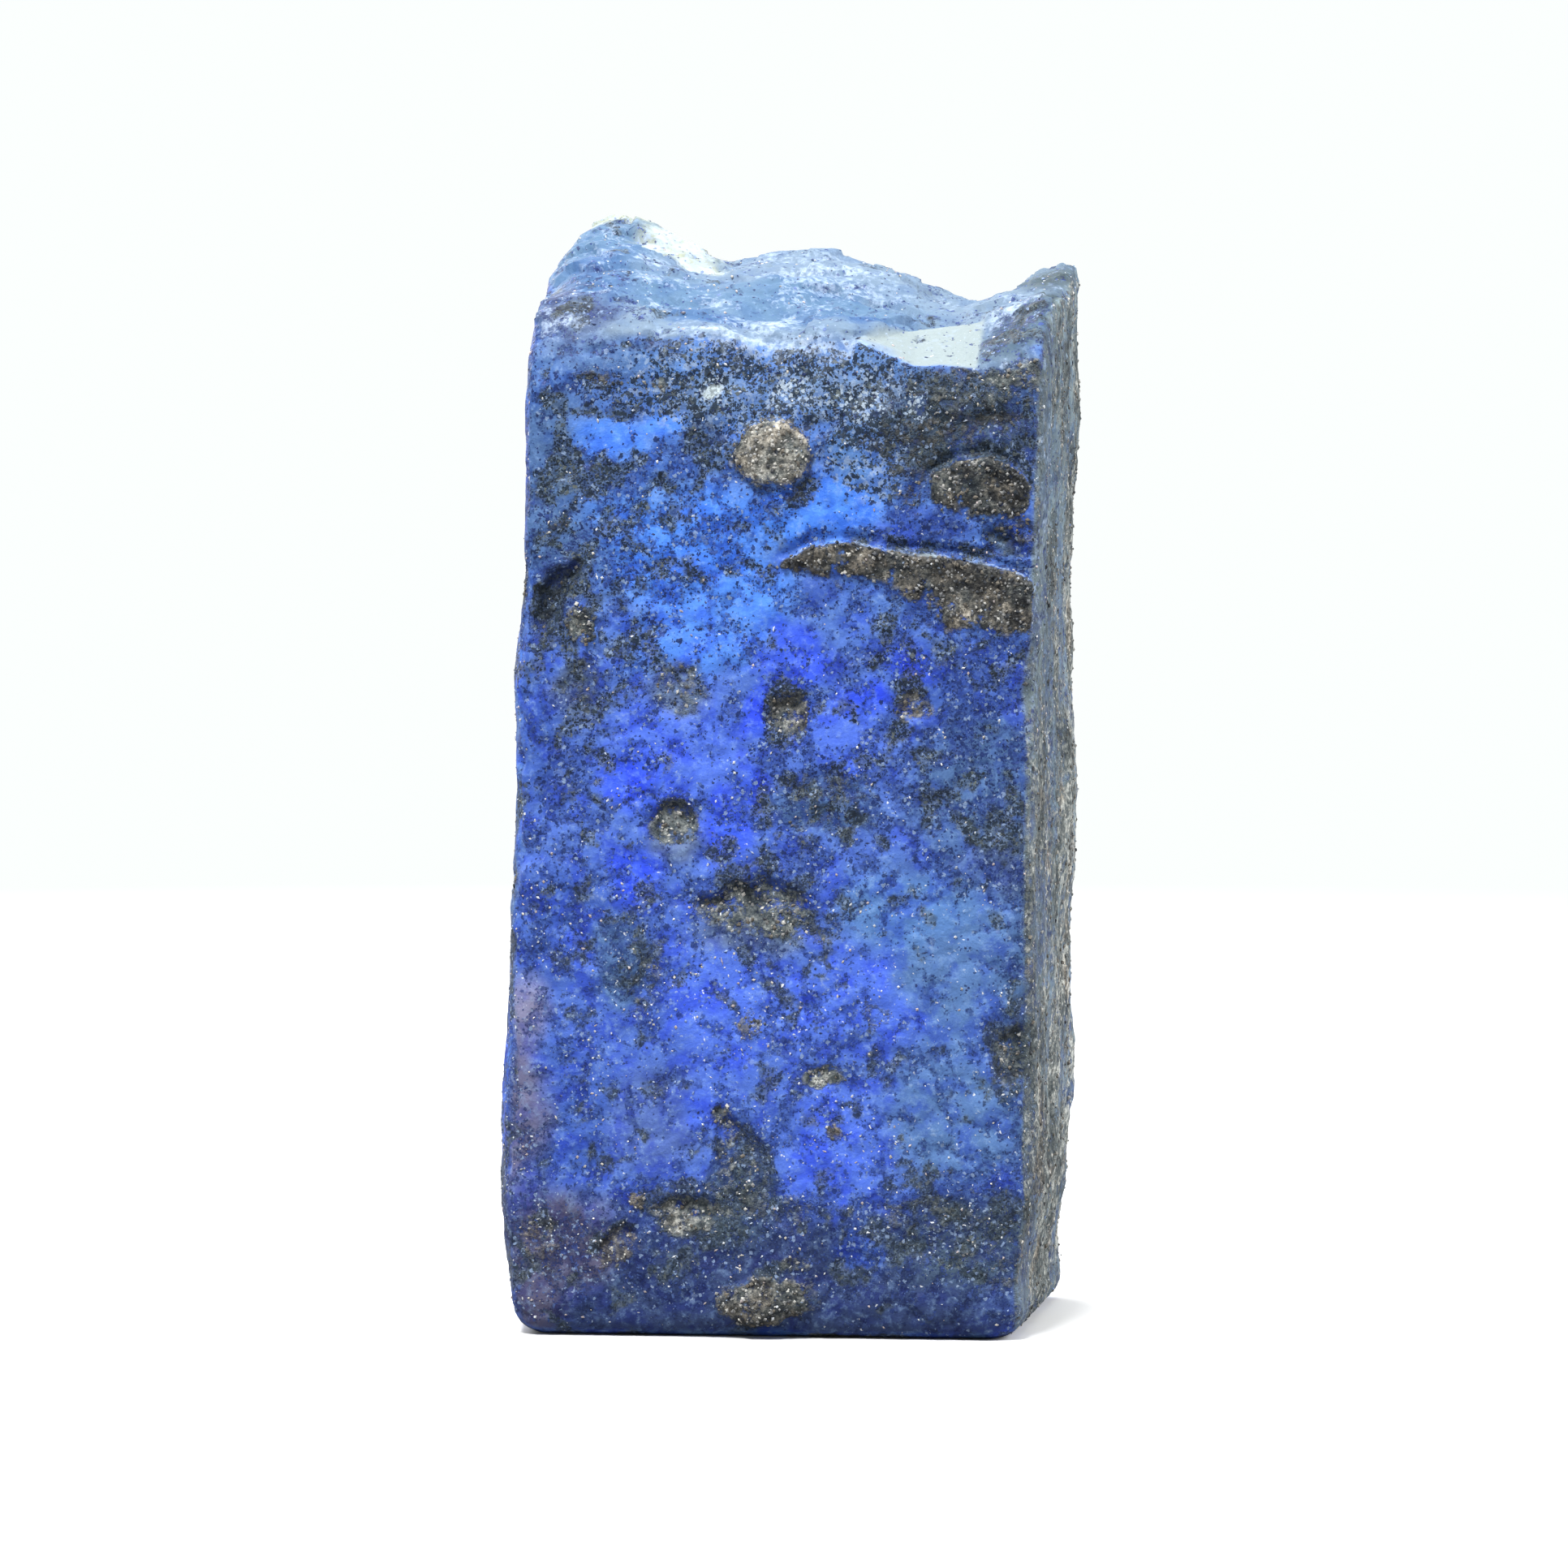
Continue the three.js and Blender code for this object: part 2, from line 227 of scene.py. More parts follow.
# The blue of the front wall, place by place: a ground, then its spot in mm across and up the wall.
frontGround = [spot(*place, ground=ground) for ground, *place in (
    ("denim", -11.6, 44.5, 2.6, 6.8), ("sky", -8.2, 46.2, 2.5, 1.1, -14), ("sky", -5.4, 46.9, 1.7, 0.8, 18),
    ("steel", -6.9, 41.4, 3.4, 3.0), ("azure", -2.8, 41.6, 2.6, 2.8), ("denim", -3.2, 47.2, 1.2, 1.0),
    ("sky", -3.4, 39.0, 5.0, 1.6, -6), ("denim", -8.4, 50.8, 4.4, 1.2, -3),
    ("steel", 1.0, 49.4, 9.5, 2.6, -5), ("paleSteel", 3.4, 48.4, 4.6, 1.7, -8),
    ("paleSteel", -2.8, 48.6, 2.4, 1.3, 10), ("haze", -1.6, 50.2, 3.6, 0.9, -4),
    ("azure", -4.4, 40.2, 6.4, 2.6, -30), ("steel", 3.6, 45.4, 1.1, 2.6, 8), ("azure", 2.2, 42.6, 4.2, 1.9),
    ("sky", -4.0, 36.6, 4.4, 2.8, 12), ("cobalt", 8.0, 42.0, 3.2, 1.2, -12),
    ("royal", 6.4, 41.3, 1.7, 0.8, -8), ("slate", 12.5, 40.9, 1.4, 0.8, -30),
    ("slate", 9.6, 46.6, 5.0, 3.2, -12), ("slate", 12.8, 49.4, 2.2, 1.2), ("cobalt", 13.0, 42.6, 1.0, 3.4),
    ("cobalt", 2.3, 38.9, 1.5, 0.8), ("navy", -11.0, 38.4, 1.1, 2.3, -28), ("ultra", 1.4, 35.4, 2.4, 2.0),
    ("cobalt", 9.1, 34.6, 5.0, 2.4), ("ultra", 7.2, 35.0, 1.8, 1.2), ("ultra", 4.4, 32.6, 1.4, 1.3),
    ("ultra", -0.6, 32.6, 0.9, 1.6), ("royal", -5.0, 30.6, 4.2, 4.2), ("cobalt", -12.5, 32.0, 1.7, 5.4),
    ("fog", -5.0, 33.4, 2.2, 1.4, -25), ("fog", -10.2, 33.8, 1.2, 1.8), ("fog", -5.1, 26.2, 1.9, 1.7),
    ("ultra", -2.4, 26.2, 1.5, 2.2), ("ultra", -7.2, 24.0, 1.7, 1.9), ("royal", 3.6, 31.0, 2.8, 2.0, -30),
    ("denim", 10.6, 28.4, 4.2, 4.8), ("denim", 3.0, 27.4, 3.4, 2.0, -8), ("ultra", -0.8, 28.4, 0.9, 1.4),
    ("fog", 11.8, 24.2, 2.2, 1.5), ("steelLow", 9.0, 19.6, 5.0, 5.6), ("steel", 6.8, 22.2, 3.8, 2.4, -6),
    ("denim", 13.4, 17.0, 1.8, 10.0), ("ultra", -7.0, 29.2, 1.8, 1.6), ("royal", 4.6, 18.4, 2.4, 2.6),
    ("royal", -3.0, 16.6, 2.8, 4.6, 10), ("royal", 1.6, 17.0, 2.2, 2.2), ("royal", 6.6, 16.6, 1.3, 2.0),
    ("cobalt", -10.6, 21.5, 2.6, 3.8), ("royal", -10.4, 20.2, 1.2, 1.2), ("lilac", -13.0, 16.2, 1.9, 2.6),
    ("denim", -7.9, 19.4, 1.9, 2.6), ("fog", -1.0, 21.0, 3.4, 1.4, 4), ("cobalt", -10.6, 11.4, 2.8, 3.6),
    ("mauve", -13.4, 11.4, 2.2, 4.8), ("violet", -6.1, 11.2, 3.0, 3.2), ("royal", -3.4, 11.4, 1.5, 1.9),
    # the two navy bands across the foot darken the wall towards its foot, partly its own navy and partly
    # painted shade
    ("royal", 3.0, 9.6, 2.6, 3.6, -24), ("steelLow", 9.6, 11.6, 4.2, 4.2), ("navy", 0.0, 2.8, 16.0, 4.4),
    ("slate", 9.8, 5.2, 5.0, 2.8), ("dusk", -10.8, 5.2, 3.4, 3.2), ("slate", -1.6, 7.2, 2.2, 3.0),
    ("navy", 0.0, 0.8, 16.0, 2.2), ("dusk", -12.6, 2.2, 2.4, 2.6), ("cobalt", 4.6, 4.4, 1.6, 1.7),
)]

# How thickly black flecks lie on it, above or below the usual, and where.
frontFlecks = [spot(*place, dark=dark) for dark, *place in (
    (0.1, -11.6, 46.4, 2.2, 3.0), (0.35, -3.1, 47.2, 1.2, 1.0), (-0.45, -8.0, 46.3, 2.6, 1.0, -14),
    (-0.3, -5.4, 46.9, 1.5, 0.7, 18), (-0.3, -7.4, 50.4, 3.6, 0.8, -3), (0.6, -6.4, 48.9, 4.4, 1.3, -3),
    (0.3, -0.6, 50.4, 4.8, 0.9, -4), (0.05, 5.0, 49.2, 2.6, 0.9, -16), (0.5, 0.6, 33.8, 1.2, 0.8),
    (0.4, 7.0, 33.6, 1.5, 1.2, 30), (0.55, -3.4, 46.4, 1.1, 2.2, -20), (0.5, -8.8, 44.4, 3.0, 1.0, -24),
    (0.16, -7.4, 42.0, 5.6, 3.4), (-0.5, -0.3, 40.9, 1.6, 1.3), (0.4, 2.0, 48.6, 11.0, 1.9, -5),
    (0.45, 6.6, 45.6, 1.9, 2.6), (0.35, 10.4, 47.4, 4.6, 1.8, -8), (0.5, 0.6, 43.5, 1.8, 0.8),
    (-0.4, 3.6, 42.6, 2.8, 1.5), (-0.12, -2.3, 37.4, 5.0, 2.6, 8), (0.6, -11.0, 38.4, 1.2, 2.6, -28),
    (0.35, -10.0, 33.8, 1.4, 2.1), (-0.2, 1.6, 35.6, 2.6, 2.2), (0.1, 9.4, 34.4, 4.6, 2.2),
    (0.4, 0.8, 32.4, 1.2, 1.8, 8), (-0.32, -5.0, 29.4, 4.0, 4.8), (-0.2, -12.6, 32.0, 1.6, 5.0),
    (0.2, 10.6, 28.8, 4.0, 4.4), (0.3, 12.2, 25.8, 1.4, 2.6), (0.25, 2.2, 27.6, 4.4, 2.4, -6),
    (0.4, -0.6, 23.4, 3.4, 1.0, 4), (-0.3, 8.8, 19.4, 4.8, 5.0), (-0.15, 4.6, 19.2, 2.2, 3.0),
    (-0.3, -2.6, 15.2, 3.4, 5.6, 10), (0.2, -6.9, 19.0, 1.8, 3.0), (-0.1, -9.8, 14.0, 3.4, 5.4),
    (-0.3, -5.0, 9.4, 3.2, 2.2), (-0.25, 3.2, 9.4, 3.4, 3.4, -20), (-0.3, 9.4, 11.8, 3.8, 2.8),
    (0.25, 10.6, 8.2, 3.4, 2.0), (0.25, 10.0, 5.2, 4.4, 2.2), (0.3, -1.4, 8.2, 1.6, 3.2, 12),
    (0.3, 0.8, 6.8, 2.2, 1.2, -30), (0.15, -5.6, 5.6, 3.6, 2.0, 8), (0.2, 0.0, 5.2, 15.0, 3.4),
    # the first two here are painted shade: darker bands along the upper edges of the pits at the foot
    (0.45, -5.8, 7.4, 3.0, 0.8, 3), (0.35, 9.4, 7.2, 3.6, 0.9), (0.6, 12.2, 15.0, 1.4, 1.6),
    (0.3, 12.2, 49.4, 3.0, 0.8, 6), (-0.3, 0.0, 0.8, 15.0, 1.2), (0.4, 9.0, 46.4, 5.0, 1.6),
    (0.35, 6.8, 46.4, 3.0, 1.4, -20), (0.15, 12.6, 49.2, 2.2, 1.2), (-0.4, 4.4, 32.4, 1.5, 1.4),
    (-0.4, -0.6, 32.4, 0.8, 1.4), (0.2, 11.6, 24.2, 2.0, 1.4), (0.3, 13.2, 14.0, 1.0, 14.0),
)]
pepperedPlaces = [spot(-0.6, 49.2, 9.0, 2.8), spot(4.6, 45.4, 2.2, 2.4)]   # huddled black flecks on grey
icyPlaces = [spot(-3.1, 48.7, 1.5, 0.9), spot(1.0, 48.7, 1.6, 1.2), spot(4.2, 48.3, 2.6, 1.3),
             spot(7.0, 48.2, 1.2, 0.8)]

# Its marks: how far each stands out in mm, then its spot. Crust is how much grey-brown matrix covers the
# blue, tan how pale and warm how brown that is, heart how much paler its middle is, and frost how white the
# stone is rubbed; that white also carries the painted highlights on the shelves' rims. A crisp mark has a plain
# border.
frontMarks = {
    "aroundKnob": pit(0.0, 0.1, 45.4, 2.5, 2.1, crust=0.42, tan=0.3, warm=0.6),
    "tanKnob": dome(0.7, 0.0, 45.7, 2.1, 1.75, crust=1.0, tan=0.86, warm=0.45, crisp=True),
    # a small brownish smear under the raised knob, made darker partly as painted shade under it
    "underKnob": pit(-0.08, 0.3, 43.7, 1.7, 0.5, crust=0.35, tan=0.2),
    "aboveThat": pit(0.0, 6.8, 45.9, 2.0, 1.7, -20, crust=0.46, tan=0.1, warm=0.5),
    "besideHood": pit(-0.1, 7.6, 43.7, 1.2, 1.5, crust=0.5, tan=0.1, warm=0.6),
    "underHood": pit(-0.2, 12.3, 41.9, 1.5, 1.0, crust=0.6, tan=-0.1, warm=0.5),
    "lipCrust": pit(0.1, 10.2, 48.6, 4.6, 1.2, crust=0.46, tan=0.2, warm=0.35),
    "lipCorner": pit(0.0, 12.6, 49.5, 2.3, 0.9, 6, crust=0.75, tan=0.48, warm=0.2),
    "brownOverHood": pit(-0.1, 10.2, 46.9, 3.2, 0.9, -6, crust=0.5, tan=0.1, warm=0.6),
    "oliveFleck": pit(0.0, -8.9, 49.7, 1.3, 0.6, -10, crust=0.5, tan=0.15, warm=0.6),
    "greyFleck": pit(0.0, -5.6, 48.9, 0.8, 0.6, crust=0.55, tan=0.6),
    "oliveSpot": pit(0.0, -11.4, 41.9, 0.7, 0.8, crust=0.5, tan=0.1, warm=0.5),
    # dark crust in the groove above the lens's right end, partly painted shade in that groove
    "grooveAbove": pit(-0.4, 12.1, 40.9, 1.9, 0.6, -35, crust=0.48, tan=-0.05),
    "leftSlot": pit(-0.6, -11.0, 38.4, 0.75, 2.1, -28, crust=0.5, tan=-0.1),
    "leftBlob": dome(0.3, -9.9, 36.8, 0.8, 0.8, crust=0.8, tan=0.35),
    "greyPatch": pit(-0.15, -5.0, 33.4, 2.0, 1.4, -25, crust=0.5, tan=0.42, warm=0.05),
    "leftPatch": pit(-0.2, -10.0, 33.8, 1.0, 1.6, crust=0.4, tan=0.3, warm=0.1),
    "dimple": pit(-0.38, 1.0, 32.4, 0.85, 1.25, 20, crust=0.7, tan=0.36, warm=0.35, heart=0.3),
    "brownDimple": pit(-0.28, 7.2, 32.5, 1.0, 1.0, 25, crust=0.62, tan=0.4, warm=0.5, heart=0.15),
    "roundPit": pit(-0.5, -5.1, 26.6, 1.35, 1.3, crust=0.74, tan=0.34, warm=0.2, heart=0.4, crisp=True),
    "greyBand": pit(-0.12, 3.2, 28.6, 2.7, 1.0, -4, crust=0.36, tan=0.38, warm=0.1),
    "greyBelow": pit(-0.1, 2.8, 26.5, 2.3, 0.8, -12, crust=0.34, tan=0.36, warm=0.1),
    "broadHollow": scoop(-0.55, -0.6, 22.3, 3.0, 1.35, 5, crust=0.72, tan=0.42, warm=0.15, heart=0.3),
    "besideHollow": pit(-0.25, 2.6, 21.7, 1.1, 0.9, crust=0.35, tan=0.15),
    "leftStain": pit(-0.2, -6.7, 18.4, 1.0, 1.7, -15, crust=0.4, tan=0.3),
    "paleSpot": dome(0.15, -1.3, 16.2, 0.7, 0.8, crust=0.6, tan=0.6),
    "brownSpot": pit(-0.1, 5.2, 16.8, 0.9, 0.9, crust=0.5, tan=0.3),
    "smallPit": pit(-0.2, 2.9, 13.6, 1.2, 0.85, 18, crust=0.8, tan=0.66, heart=0.35),
    "rightHollow": pit(-0.5, 12.3, 14.8, 1.0, 1.7, crust=0.6, tan=0.12, heart=0.45),
    "valleyTop": pit(-0.2, -2.4, 11.0, 0.6, 0.8, crust=0.7, tan=0.5),
    "footTan": dome(0.12, -7.1, 6.9, 0.9, 0.5, -20, crust=0.7, tan=0.5, warm=0.8),
    "footCrystals": dome(0.12, -1.5, 7.4, 0.7, 0.9, crust=0.6, tan=0.75),
    "besideLump": dome(0.1, 1.1, 3.6, 0.9, 0.6, crust=0.55, tan=0.6),
    "leftFootPink": pit(-0.1, -11.8, 5.0, 1.4, 1.8, 20, crust=0.42, tan=0.45, warm=0.9),
    "rightFootSpecks": pit(-0.1, 8.2, 7.0, 2.6, 0.8, crust=0.45, tan=0.2),
    "rightFootLow": pit(-0.1, 11.6, 3.6, 1.4, 0.7, crust=0.45, tan=0.3),
    "tanFleck": pit(0.0, 3.6, 10.8, 0.4, 0.4, crust=0.7, tan=0.6, warm=0.8),
    "footValley": scoop(-0.38, -1.7, 8.2, 1.6, 2.8, 10, crust=0.44, tan=0.48, warm=0.15),
    "besideValley": pit(-0.15, 0.5, 6.9, 1.9, 1.1, -30, crust=0.42, tan=0.32, warm=0.15),
    "footPit": scoop(-0.45, -4.4, 6.3, 1.7, 0.95, 4, crust=0.72, tan=0.48, heart=0.25),
    "footSidePit": scoop(-0.3, -8.2, 4.7, 1.1, 0.85, 10, crust=0.6, tan=0.45, warm=0.7, heart=0.15),
    "footSlate": pit(-0.15, 9.4, 5.6, 4.2, 1.5, -4, crust=0.4, tan=0.2),
    "footLump": dome(0.4, -0.4, 1.8, 2.3, 1.3, crust=0.8, tan=0.42, warm=0.5),
    "whiteUnderLip": pit(-0.05, -3.2, 48.7, 0.55, 0.32, 24, frost=0.95, crisp=True),
    "whiteBesideIt": pit(-0.05, 0.8, 48.6, 1.6, 1.0, frost=0.22),
    "whiteFurther": pit(-0.05, 4.6, 48.3, 1.8, 1.0, frost=0.22),
}

# Shelves that stand out of it: a sharp rim above, dying away below. Rim is how bright the painted highlight
# along that rim is.
frontShelves = {
    "lens": {"lift": 0.62, "fade": 0.5, "crust": 1.0, "tan": 0.24, "rim": 0.85, "warm": 0.6, "fray": 0.4,
             "paler": [spot(3.6, 40.2, 2.2, 0.7), spot(10.0, 37.6, 2.2, 1.0)],
             "across": (0.2, 2.05, 3.7, 5.6, 5.9, 8.3, 10.4, 12.05, 13.3, 14.0),
             "upper": (40.0, 40.9, 41.15, 40.9, 40.65, 40.3, 40.0, 39.7, 39.1, 38.2),
             "lower": (39.7, 39.4, 39.2, 38.9, 38.2, 37.0, 36.2, 35.9, 35.9, 36.2)},
    "hood": {"lift": 0.5, "fade": 0.8, "crust": 0.95, "tan": 0.16, "rim": 0.4, "warm": 0.5, "fray": 0.3,
             "paler": [spot(8.8, 43.8, 0.8, 0.9)],
             "across": (7.9, 8.3, 9.5, 11.2, 12.2, 12.9, 13.3),
             "upper": (43.8, 44.6, 45.25, 45.45, 44.9, 44.2, 43.6),
             "lower": (43.4, 42.9, 42.4, 42.1, 42.3, 42.7, 43.3)},
}

# Places of the broken top, in mm across and back from the block's middle, and its one smooth pale plane.
topPlaces = [
    spot(-11.0, 1.0, 4.0, 9.0, ground="haze"), spot(1.5, -3.0, 6.5, 5.0, ground="haze"),
    spot(-5.6, -3.6, 3.0, 4.0, ground="haze"), spot(-10.6, -5.0, 3.4, 2.8, ground="deepHaze", dark=0.3),
    spot(-10.2, -0.6, 2.6, 3.0, ground="deepHaze"), spot(2.2, 0.6, 4.6, 1.8, frost=0.5),
    spot(-11.8, -5.0, 1.2, 1.8, ground="violet"), spot(-3.8, -6.8, 2.6, 1.4, ground="deepHaze"),
    spot(4.4, -5.8, 3.0, 1.4, ground="deepHaze"), spot(13.4, 4.6, 2.2, 4.0, ground="slate"),
    spot(13.9, -2.2, 1.3, 3.2, ground="slate"), spot(12.4, -6.6, 2.3, 2.8, ground="denim", dark=0.5),
    spot(-10.6, -7.4, 2.6, 1.6, ground="violet", dark=0.35),
    spot(-6.7, 7.1, 2.9, 1.8, 35, ground="chalk", frost=0.8),
    spot(-5.1, 4.8, 1.9, 1.2, -25, ground="chalk", frost=0.8), spot(-6.4, 9.4, 1.9, 1.4, ground="ash"),
    spot(-10.4, 9.0, 2.4, 1.6, ground="chalk", frost=0.4), spot(1.8, 6.4, 2.4, 1.8, frost=0.45),
    spot(0.1, -6.6, 1.3, 2.2, -14, frost=0.65), spot(-5.8, -5.0, 1.0, 0.7, frost=0.6),
    spot(-7.6, 1.4, 1.0, 0.8, frost=0.6), spot(-2.9, -4.4, 1.2, 0.7, frost=0.55),
    spot(-7.2, -2.4, 1.8, 1.2, frost=0.5), spot(1.6, 2.8, 3.8, 1.4, frost=0.65),
    spot(1.2, -3.0, 2.6, 1.8, frost=0.35), spot(-10.8, -8.0, 1.6, 0.7, frost=0.6),
    spot(12.0, -3.4, 2.0, 1.2, 20, frost=0.6), spot(0.4, -9.2, 7.0, 0.65, frost=0.72),
    spot(-10.8, -9.2, 2.8, 0.5, frost=0.35), spot(12.6, -9.2, 1.6, 0.5, frost=0.5),
]
smoothFacet = {
    "across": (4.2, 5.2, 7.2, 10.2, 10.5), "front": -9.9, "back": (-8.6, -7.7, -4.7, -3.4, -3.4),
    "at": (10.4, -9.3, 49.9), "slope": (-0.06, 0.434),
    "bentFrom": 7.2, "bend": 0.35,          # it rises again to the left of this
}


# How thickly black flecks, crust, powder, and pale specks with painted glints lie where no place above says
# more or less. The edge value is partly wear and partly painted highlight.
amounts = {
    "wallFlecks": 0.45, "frontFlecks": 0.40, "rightFlecks": 0.35, "topFlecks": 0.16,
    "wallCrust": 0.85, "hollowCrust": 0.75, "rightCrust": 0.66,
    "wallFrost": 0.12, "lipFrost": 0.34, "edgeWearAndHighlight": 0.4, "topFrost": 0.42,
    "specksAndGlints": 0.2, "lowSpecksAndGlints": 0.7,
}


def fromScreen(values):  # 0-255 screen values to the linear ones that shaders take
    return np.array([(v / 255) ** 2.2 for v in values]) / light["level"]


def colourOf(name):
    return fromScreen(palette[name])


def everywhere(name, count):
    return np.tile(colourOf(name), (count, 1))


def blended(first, second, share):  # values or colours
    if np.ndim(first) == 2:
        share = share[:, None]
    return first + (second - first) * share


def spotCoordinates(u, v, place):  # 1 at a spot's rim, and how far up it
    turn = math.radians(place["turn"])
    du = u - place["at"][0]
    dv = v - place["at"][1]
    a = (du * math.cos(turn) + dv * math.sin(turn)) / place["size"][0]
    b = (dv * math.cos(turn) - du * math.sin(turn)) / place["size"][1]
    return np.hypot(a, b), b


def spotMask(u, v, place, full, gone):  # 1 up to a share of the spot's half axes, and 0 from another
    return 1 - smoothstep(spotCoordinates(u, v, place)[0], full, gone)


def shelfCoordinates(u, v, shelf):  # 0 at the rim above, 1 at the lower end, and how far inside its ends
    upper = np.interp(u, shelf["across"], shelf["upper"])
    lower = np.interp(u, shelf["across"], shelf["lower"])
    ends = np.minimum(u - shelf["across"][0], shelf["across"][-1] - u)
    return (upper - v) / (upper - lower), upper - v, smoothstep(ends, -0.05, 0.35)


# How far the borders of marks waver, in mm: in long waves and in short ones.
wander = {"crisp": (0.16, 0.10), "loose": (0.55, 0.24), "waves": (2.6, 0.8)}


def wandered(points, kind):  # across and up the front wall, with wavering borders
    far, near = wander[kind]
    long, short = wander["waves"]
    turned = points if kind == "crisp" else points @ turnedAxes
    u = points[:, 0] + far * rough(turned, long, 91, 2) + near * rough(turned, short, 93, 2)
    v = points[:, 2] + far * rough(turned, long, 92, 2) + near * rough(turned, short, 94, 2)
    return u, v


def facetMask(points):  # 1 on the smooth plane of the top
    x, y = points[:, 0], points[:, 1]
    across = smoothFacet["across"]
    back = np.interp(x, across, smoothFacet["back"])
    ends = np.minimum(x - across[0], across[-1] - x)
    inside = smoothstep(y - smoothFacet["front"], -0.1, 0.1) * smoothstep(back - y, -0.15, 0.15)
    return inside * smoothstep(ends, -0.1, 0.15)


def liftOf(mark, u, v):
    r, b = spotCoordinates(u, v, mark)
    if mark["form"] == "dome":
        return mark["lift"] * np.sqrt(np.clip(1 - r ** 2, 0, 1)) ** 0.8
    if mark["form"] == "pit":
        return mark["lift"] * (1 - smoothstep(r, 0.5, 1.1))
    return mark["lift"] * (1 - smoothstep(r, 0.82, 1.06)) * smoothstep(b, -1.0, 0.7)


def selectOnly(piece):
    bpy.ops.object.select_all(action="DESELECT")
    piece.select_set(True)
    bpy.context.view_layer.objects.active = piece


def copyOfNode(name, newName):
    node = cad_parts[name]
    piece = bpy.data.objects.new(newName, node.data.copy())
    piece.data.materials.clear()
    bpy.context.scene.collection.objects.link(piece)
    selectOnly(piece)
    return piece


def applied(piece, kind, **values):
    modifier = piece.modifiers.new(kind.lower(), kind)
    for key, value in values.items():
        setattr(modifier, key, value)
    bpy.ops.object.modifier_apply(modifier=modifier.name)


def read(items, key, width=1, kind=float):
    flat = np.empty(len(items) * width, dtype=kind)
    items.foreach_get(key, flat)
    return flat.reshape(-1, width) if width > 1 else flat


def pointsOf(mesh):  # in mm
    return read(mesh.vertices, "co", 3) / mm


def normalsOf(mesh):
    return read(mesh.vertices, "normal", 3)


def setPoints(mesh, points):
    mesh.vertices.foreach_set("co", (points * mm).ravel())
    mesh.update()


def fromUprightEdge(points):  # distance of a front-wall point from the nearer upright edge, mm
    left = np.interp(points[:, 2], *block["leftEdge"])
    right = np.interp(points[:, 2], *block["rightEdge"])
    return np.minimum(points[:, 0] - left, right - points[:, 0])


def planeFront(points, normals):
    facing = smoothstep(-normals[:, 1], 0.5, 0.8)
    inside = smoothstep(fromUprightEdge(points), 0.3, block["uprightEdge"])
    below = 1 - smoothstep(points[:, 2], block["planedTo"] - 1.5, block["planedTo"])
    above = smoothstep(points[:, 2], block["planedFrom"], 3.0)
    share = facing * inside * below * above
    points[:, 1] += share * (block["frontWallY"] - points[:, 1])
    return points


def lumps(points):  # a low rounded lump to each cell, and the crevices between them
    moved = points + 0.5 * np.stack([swell(points, 1.5, seed) for seed in (21, 22, 23)], axis=1)
    near, border, _, tone = cells(moved, 1.9, 40)
    return 0.6 - near + 0.25 * tone, 1 - smoothstep(border, 0.02, 0.30)


def hollows(points):  # shallow crusted hollows, far apart
    moved = points + 0.9 * np.stack([rough(points, 2.6, seed, 2) for seed in (141, 143, 145)], axis=1)
    near, _, _, tone = cells(moved, 6.0, 150)
    return (tone > -0.2) * (1 - smoothstep(near, 0.13, 0.30))


